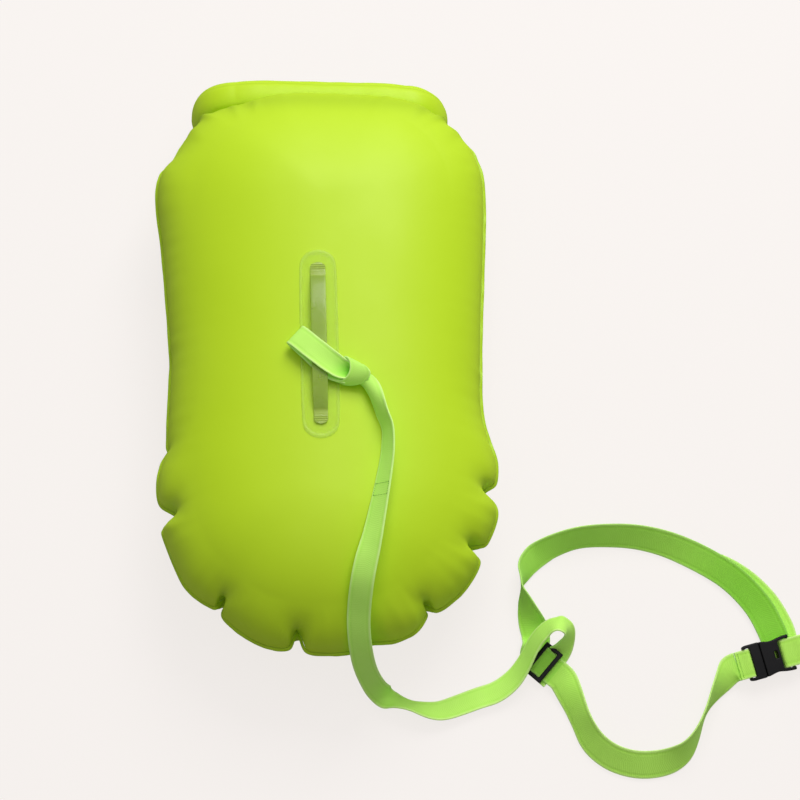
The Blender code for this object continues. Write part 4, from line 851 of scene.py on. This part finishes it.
def roll_top():
    """The rolled mouth: a flattened tube whose section is a spiral, so one layer's edge steps
    down along it, with slack folds that wander along the run, closed at both ends round a slot."""
    line = spline(mouth_line(), 0.0028)
    across, out = square_frames(line, (0.0, 1.0, 0.0))
    turn = whole_turn(72)[None]
    along = run_length(line)[:, None]
    # Where the outer layer's edge lies on the section, and the share of a turn past it.
    flap = 3.55 + 0.10 * ripple(along, 0.09, 41)
    after = np.mod(turn - flap, full_turn) / full_turn
    size = 1.0 - 0.085 * (1.0 - after) - 0.02 * bell(after, 0.02)
    slack = 0.016 * ripple(along + 0.008 * turn, 0.050, 43) * np.sin(turn * 2.0 + along * 30.0)
    bent = 1.0 - step_between(np.abs(line[:, 2] - roll_top_z + roll_bend), 0.55 * roll_bend, 0.95 * roll_bend)[:, None]
    gathers = bell(turn - 4.71, 0.75) * bent * np.sin(full_turn * along / 0.0085 + np.sin(turn * 3.0))
    hem = bell(turn - 0.95 - 0.05 * ripple(along, 0.08, 47), 0.05)
    size = size + slack + 0.030 * gathers - 0.035 * hem
    lean = 0.0009
    wide = (roll_half_height - lean) * powered(np.cos(turn), 0.92) * size - lean
    high = roll_half_thickness * powered(np.sin(turn), 0.92) * size
    outer = line[:, None] + across[:, None] * wide[:, :, None] + out[:, None] * high[:, :, None]
    # The ends: coils drawn in towards the slot, each a little way along the run.
    rings, coils = 13, 4.0
    layers = np.linspace(0.0, 1.0, rings + 1)[1:]
    slot_w, slot_h = 0.0108 / roll_half_height, 0.0018 / roll_half_thickness
    in_w, in_h = (1.0 + (share - 1.0) * layers[:, None] for share in (slot_w, slot_h))
    push = 0.0009 * np.sin(layers * full_turn * coils) * (1.0 - layers) ** 0.3
    ends = [line[index] + across[index] * (wide[index] * in_w)[:, :, None]
            + out[index] * (high[index] * in_h)[:, :, None] + outwards * push[:, None, None]
            for index, outwards in ((0, -unit(line[1] - line[0])), (-1, unit(line[-1] - line[-2])))]
    points = np.concatenate([ends[0][::-1], outer, ends[1]])
    shade = np.zeros(points.shape[:2])
    # Painted shade along the outer layer's edge step and in the hem's groove.
    shade[rings:-rings] = 0.55 * bell(np.mod(turn - flap + 0.05, full_turn), 0.10) + 0.35 * hem
    tube("rolled_mouth", points, "lime_coated_fabric", loop=True, marks={"painted_shade": shade},
         replaces=["roll_top"], sharp=50.0)


def closure_tabs():
    """Each tab: a hairpin of 20 mm webbing from the roll's stiffened end round its half of the buckle.
    The left one reaches from the bag to the plug, so it follows both."""
    for label, side, reach in (("left", -1.0, 0.0207), ("right", 1.0, 0.01582)):
        stiff_end = side * (roll_half_run - roll_return - 0.014)
        line = hairpin(stiff_end + side * 0.0128, side * reach, 0.00428, 0.0026, 0.014)
        middles = in_axes(line, closure_centre, np.eye(3))
        made = strap("closure_strap_" + label, middles, (0.0, 1.0, 0.0), 0.020, "spring_green_webbing",
                     body=None if side < 0 else "bag", replaces=["closure_tab_" + label])
        if side < 0:
            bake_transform(made)


# ---------------------------------------------------------------- handle
def patch_place(along, across):
    """Along and across the patch turned by its angle, about its middle."""
    c, s = math.cos(patch_turn), math.sin(patch_turn)
    return patch_middle[0] + across * c - along * s, patch_middle[1] + along * c + across * s


def front_height(x, y):
    """Height of the front panel beside the spine: the ellipse over the weld's reach there."""
    right, left = soft_edge[soft_edge[:, 0] > 0.0], soft_edge[soft_edge[:, 0] <= 0.0]
    right, left = right[right[:, 1].argsort()], left[left[:, 1].argsort()]
    reach = np.where(x > 0.0, np.interp(y, right[:, 1], right[:, 0]), -np.interp(y, left[:, 1], left[:, 0]))
    return seam_z + seam_gap + front_depth * np.sqrt(1.0 - np.clip(x / reach, -1.0, 1.0) ** 2)


def handle_patch():
    """The oval of film: rings of a stadium drawn in towards its middle line, with a raised rim."""
    half_l, half_w = 0.104, 0.020
    turn = whole_turn(240)
    straight = (half_l - half_w) * np.tanh(np.sin(turn) * 6.0)
    shares = np.concatenate([np.linspace(1.0, 0.86, 12), np.linspace(0.84, 0.01, 18)])
    from_rim = (1.0 - shares) * half_w
    along = straight[None] * (0.2 + 0.8 * shares[:, None] ** 0.2) + (np.sin(turn) * half_w)[None] * shares[:, None]
    x, y = patch_place(along, (np.cos(turn) * half_w)[None] * shares[:, None])
    bead = 0.0005 * bell(from_rim - 0.0016, 0.0008) + 0.00025 * bell(from_rim - 0.0042, 0.0005)
    top = 0.0007 * step_between(from_rim, -0.0004, 0.0006)
    under = front_height(x, y) + 0.0004
    over = under + (top + bead)[:, None]
    points = np.concatenate([np.stack([x, y, over], 2)[::-1], np.stack([x, y, under], 2)])
    weld = bell(from_rim - 0.0016, 0.0014)
    weld = np.broadcast_to(np.concatenate([weld[::-1], weld])[:, None], points.shape[:2])
    tube("handle_patch_film", points, "clear_film", marks={"weld": weld}, replaces=["handle_patch"],
         inside_out=True, sharp=50.0)


def handle_strip():
    """The strip of film: flat at its welded ends, arched between by the fourth power of the way to the
    weld, its ends rounded as a quarter ellipse, narrower towards its foot."""
    half_length, free, rise, half_width = 0.089, 0.075, 0.008, 0.0079
    along = np.linspace(-half_length, half_length, 150)
    lift = rise * (1.0 - np.minimum(np.abs(along) / free, 1.0) ** 4)
    end = np.clip((half_length - np.abs(along)) / 0.005, 0.0, 1.0)
    half = half_width * np.sqrt(np.clip(1.0 - (1.0 - end) ** 2, 0.02, 1.0))
    half = half * (1.0 - 0.10 * step_between(-along, 0.05, 0.085))
    turn = whole_turn(28)
    wide, high = powered(np.cos(turn), 0.6), 0.0005 * powered(np.sin(turn), 0.4)
    welded = step_between(np.abs(along), free - 0.003, free)
    press = 0.00028 * np.sin(along * full_turn / 0.0022) * welded
    x, y = patch_place(along[:, None], half[:, None] * wide[None])
    z = strip_seat + lift[:, None] + high[None] + np.where(high > 0, 1.0, 0.0)[None] * press[:, None]
    points = np.stack([x, y, z], 2)
    marks = np.broadcast_to(welded[:, None], points.shape[:2])
    tube("handle_strip_film", points, "strip_film", marks={"weld": marks}, slot="clear_film",
         replaces=["handle_strip"], inside_out=True)


def wrapped(name, left, right, width, finish, bulge=0.0006, **more):
    """A strap's section laid between two edge lines, its middle bowed out square to both."""
    even, lines = np.linspace(0.0, 1.0, 90), []
    for line in (left, right):
        line = spline(np.array(line) * MM, 0.0008)
        lines.append(read_off(even, run_length(line) / run_length(line)[-1], line))
    left, right = lines
    across = unit(right - left)
    out = unit(np.cross(across, np.gradient((left + right) / 2.0, axis=0)))
    section = strap_section(width)
    w = (section[:, 0] / width)[None, :, None]
    rise = section[:, 1][None, :, None] + bulge * (1.0 - (2.0 * w) ** 2)
    points = (left + right)[:, None] / 2.0 + (right - left)[:, None] * w + out[:, None] * rise
    tube(name, points, finish, uv=(run_length((left + right) / 2.0), section[:, 0]), **more)


def hitch():
    """The tether's doubled end. The band runs out of the collar, over the strip, folds at its left
    end and comes back under the strip; its edges rise into a trough where it enters the collar.
    The collar is the same webbing wrapped round the trough, its left edge the trough's lip."""
    rows = np.array([
        (38, -49.8, 172.2), (32, -49.2, 172.8), (26, -48.0, 174.1), (20, -46.0, 176.0), (14, -42.3, 177.8),
        (7, -37.4, 179.3), (0, -31.9, 180.2), (-8, -25.6, 180.6), (-16, -18.8, 180.2), (-21.5, -14.2, 179.3),
        (-25.2, -11.0, 177.1), (-25.8, -10.4, 174.4), (-24.0, -11.8, 172.2), (-20, -15.2, 171.0),
        (-8, -26.3, 170.4), (2, -36.0, 170.4), (12, -43.5, 170.6), (22, -48.8, 171.0), (31, -52.2, 171.6)]) * MM
    curve = spline(rows, 0.0012)
    along = run_length(curve)
    back = along[-1] - along
    curl = np.interp(along, (0.0, 0.007, 0.014, 0.021, 0.029, 0.038, 0.048, 0.058),
                     (-160.0, -126.0, -88.0, -60.0, -40.0, -24.0, -11.0, 0.0))
    curl = curl + 55.0 * (1.0 - step_between(back, 0.004, 0.022))
    side = strap_section(tether_width)[:, 0]
    # Painted shade in the trough where the band runs into the collar.
    shade = 0.85 * np.exp(-((along[:, None] - 0.004) / 0.015) ** 2 - ((side[None] + 0.001) / 0.0085) ** 4)
    strap("tether_hitch_band", curve, (0.64, 0.77, 0.0), tether_width, "spring_green_webbing", curl=curl,
          marks={"painted_shade": shade}, replaces=["tether_hitch"])
    wrapped("tether_hitch_collar",
            [(5, -53.8, 172.8), (14, -58.4, 173.8), (22.4, -59.6, 176.4), (28.2, -56.4, 180.6), (31.0, -50.6, 183.4),
             (30.9, -43.8, 184.4), (28.4, -37.4, 183.2), (25.2, -34.2, 178.4), (25.0, -34.8, 172.6)],
            [(27, -62.4, 170.8), (35.5, -63.0, 172.6), (43.6, -61.8, 175.4), (49.8, -58.8, 179.6), (52.4, -55.0, 182.8),
             (51.8, -51.0, 184.4), (47.4, -46.6, 184.0), (41.4, -43.4, 179.0), (38.4, -42.6, 172.6)],
            0.0235, "spring_green_webbing", replaces=["tether_hitch"])


# ---------------------------------------------------------------- moulded parts
def rounded_copy(name, node, body, centre, axes, waist=0.0, corner=0.0, voxel=0.0005):
    """A moulded part: the node's solid merged, remeshed at the voxel's size and smoothed, so that each
    edge is rounded. Its sides are drawn in by a bell curve about the waist, its far corners by the
    square of the way past 20 mm, and its top is crowned by the square of the way across."""
    mesh = nodes[node].data.copy()
    merged = bmesh.new()
    merged.from_mesh(mesh)
    bmesh.ops.remove_doubles(merged, verts=merged.verts, dist=1e-6)
    merged.to_mesh(mesh)
    merged.free()
    made = placed(name, mesh)
    remesh = made.modifiers.new("remesh", "REMESH")
    remesh.mode, remesh.voxel_size = "VOXEL", voxel
    soften = made.modifiers.new("soften", "SMOOTH")
    soften.factor, soften.iterations = 0.5, 5
    shaped = bpy.data.meshes.new_from_object(made.evaluated_get(bpy.context.evaluated_depsgraph_get()))
    made.modifiers.clear()
    made.data = shaped
    points = np.zeros(3 * len(shaped.vertices), np.float32)
    shaped.vertices.foreach_get("co", points)
    local = (points.reshape(-1, 3) - centre) @ axes.T
    u, v, w = local.T
    v = v * (1.0 - waist * bell(u - 0.006, 0.009) * step_between(np.abs(v), 0.004, 0.012))
    v = v * (1.0 - corner * np.clip((-u - 0.020) / 0.008, 0.0, 1.0) ** 2)
    w = w - 0.5 * corner * 0.006 * (v / 0.019) ** 2 * (w > 0.001)
    points = centre + np.stack([u, v, w], 1) @ axes
    shaped.vertices.foreach_set("co", points.astype(np.float32).ravel())
    shaped.update()
    shaped.materials.clear()
    shaped.materials.append(finishes["black_plastic"])
    shaped.shade_smooth()
    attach(made, body)
    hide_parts(node)
    return made


def moulded_parts():
    """The rounded copies: name, node, body, waist and corner; the belt's buckle, then the closure's."""
    made = {"belt_slider": rounded_copy("belt_slider_frame", "belt_slider", "slider", slider_centre, slider_axes,
                                        voxel=0.00045)}
    for label, centre, axes, rows in (
            ("belt", buckle_centre, buckle_axes, (("plug", "plug_body", "belt_plug", 0.0, 0.16),
                                                  ("prongs", "prong_pair", "belt_plug", 0.10, 0.0),
                                                  ("socket", "socket_body", "bag", 0.12, 0.10))),
            ("closure", closure_centre, np.eye(3), (("plug", "plug_body", "closure_plug", 0.0, 0.0),
                                                    ("prongs", "prong_pair", "closure_plug", 0.0, 0.0),
                                                    ("socket", "socket_body", "bag", 0.0, 0.0)))):
        for part, name, body, waist, corner in rows:
            node = label + "_buckle_" + part
            made[node] = rounded_copy(label + "_buckle_" + name, node, body, centre, axes, waist, corner)
    return made


# ---------------------------------------------------------------- carried-over parts, light and floor
def dress_frame_nodes():
    """Finishes of the frame's own parts that stay as they are."""
    kinds = (("disc", "seal_rubber"), ("seal", "seal_rubber"), ("valve", "valve_plastic"), ("buckle", "black_plastic"),
             ("slider", "black_plastic"), ("stiffener", "black_plastic"), ("liner", "inner_liner"))
    for name, made in nodes.items():
        kind = next((finish for word, finish in kinds if word in name), None)
        for slot in made.material_slots if kind else ():
            slot.material = finishes[kind]


def light_and_floor():
    """A weak pale surround, two square lamps aimed at the buoy, and a floor. To the camera the surround
    and the floor show their own flat colour, the floor for 0.72 of its brightness."""
    world = bpy.data.worlds.new("pale_studio")
    bpy.context.scene.world = world
    world.use_nodes = True
    tree = world.node_tree
    back = tree.nodes["Background"]
    feed(tree, back, {"Color": (0.93, 0.94, 0.96, 1.0), "Strength": 0.22})
    floor_colour = (0.930, 0.889, 0.863, 1.0)
    shown = add_node(tree, "Background", {"Color": floor_colour, "Strength": 1.0})
    path = add_node(tree, "LightPath").outputs
    seen = sums(tree, "MINIMUM", sums(tree, "ADD", sums(tree, "ADD", path["Is Camera Ray"], path["Is Glossy Ray"]),
                                      path["Is Transmission Ray"]), 1.0)
    mixed = add_node(tree, "MixShader", {0: seen, 1: back.outputs[0], 2: shown.outputs[0]})
    tree.links.new(mixed.outputs[0], tree.nodes["World Output"].inputs["Surface"])
    lamps_aim = Vector((0.05, 0.0, 0.1))
    for name, place, size, power in (("key_softbox", (0.65, 2.05, 2.45), 1.9, 84.0),
                                     ("top_softbox", (0.25, -0.05, 3.2), 2.6, 18.0)):
        data = bpy.data.lights.new(name, "AREA")
        data.shape, data.size, data.energy = "SQUARE", size, power
        made = placed(name, data)
        made.location = place
        made.rotation_euler = (lamps_aim - Vector(place)).to_track_quat("-Z", "Y").to_euler()
    reach, level = 5.0, -0.0002
    corners = np.array([(-reach, -reach, level), (reach, -reach, level), (reach, reach, level), (-reach, reach, level)])
    floor = piece("pale_floor", corners, np.array([[0, 1, 2, 3]]), body=None)
    made, tree, shader = start_finish("pale_floor")
    feed(tree, shader, {"Base Color": (0.48, 0.459, 0.446, 1.0), "Roughness": 0.9, "Specular IOR Level": 0.1})
    glow = add_node(tree, "Emission", {"Color": floor_colour, "Strength": 1.22})
    path = add_node(tree, "LightPath").outputs
    seen = sums(tree, "MULTIPLY", path["Is Camera Ray"], 0.72)
    mixed = add_node(tree, "MixShader", {0: seen, 1: shader.outputs[0], 2: glow.outputs[0]})
    tree.links.new(mixed.outputs[0], tree.nodes["Material Output"].inputs["Surface"])
    floor.data.materials.append(made)


bpy.context.scene.view_settings.view_transform = "Standard"
place_camera()
parts = moulded_parts()
tether()
belt()
hitch()
bag()
roll_top()
closure_tabs()
handle_patch()
handle_strip()
dress_frame_nodes()
light_and_floor()
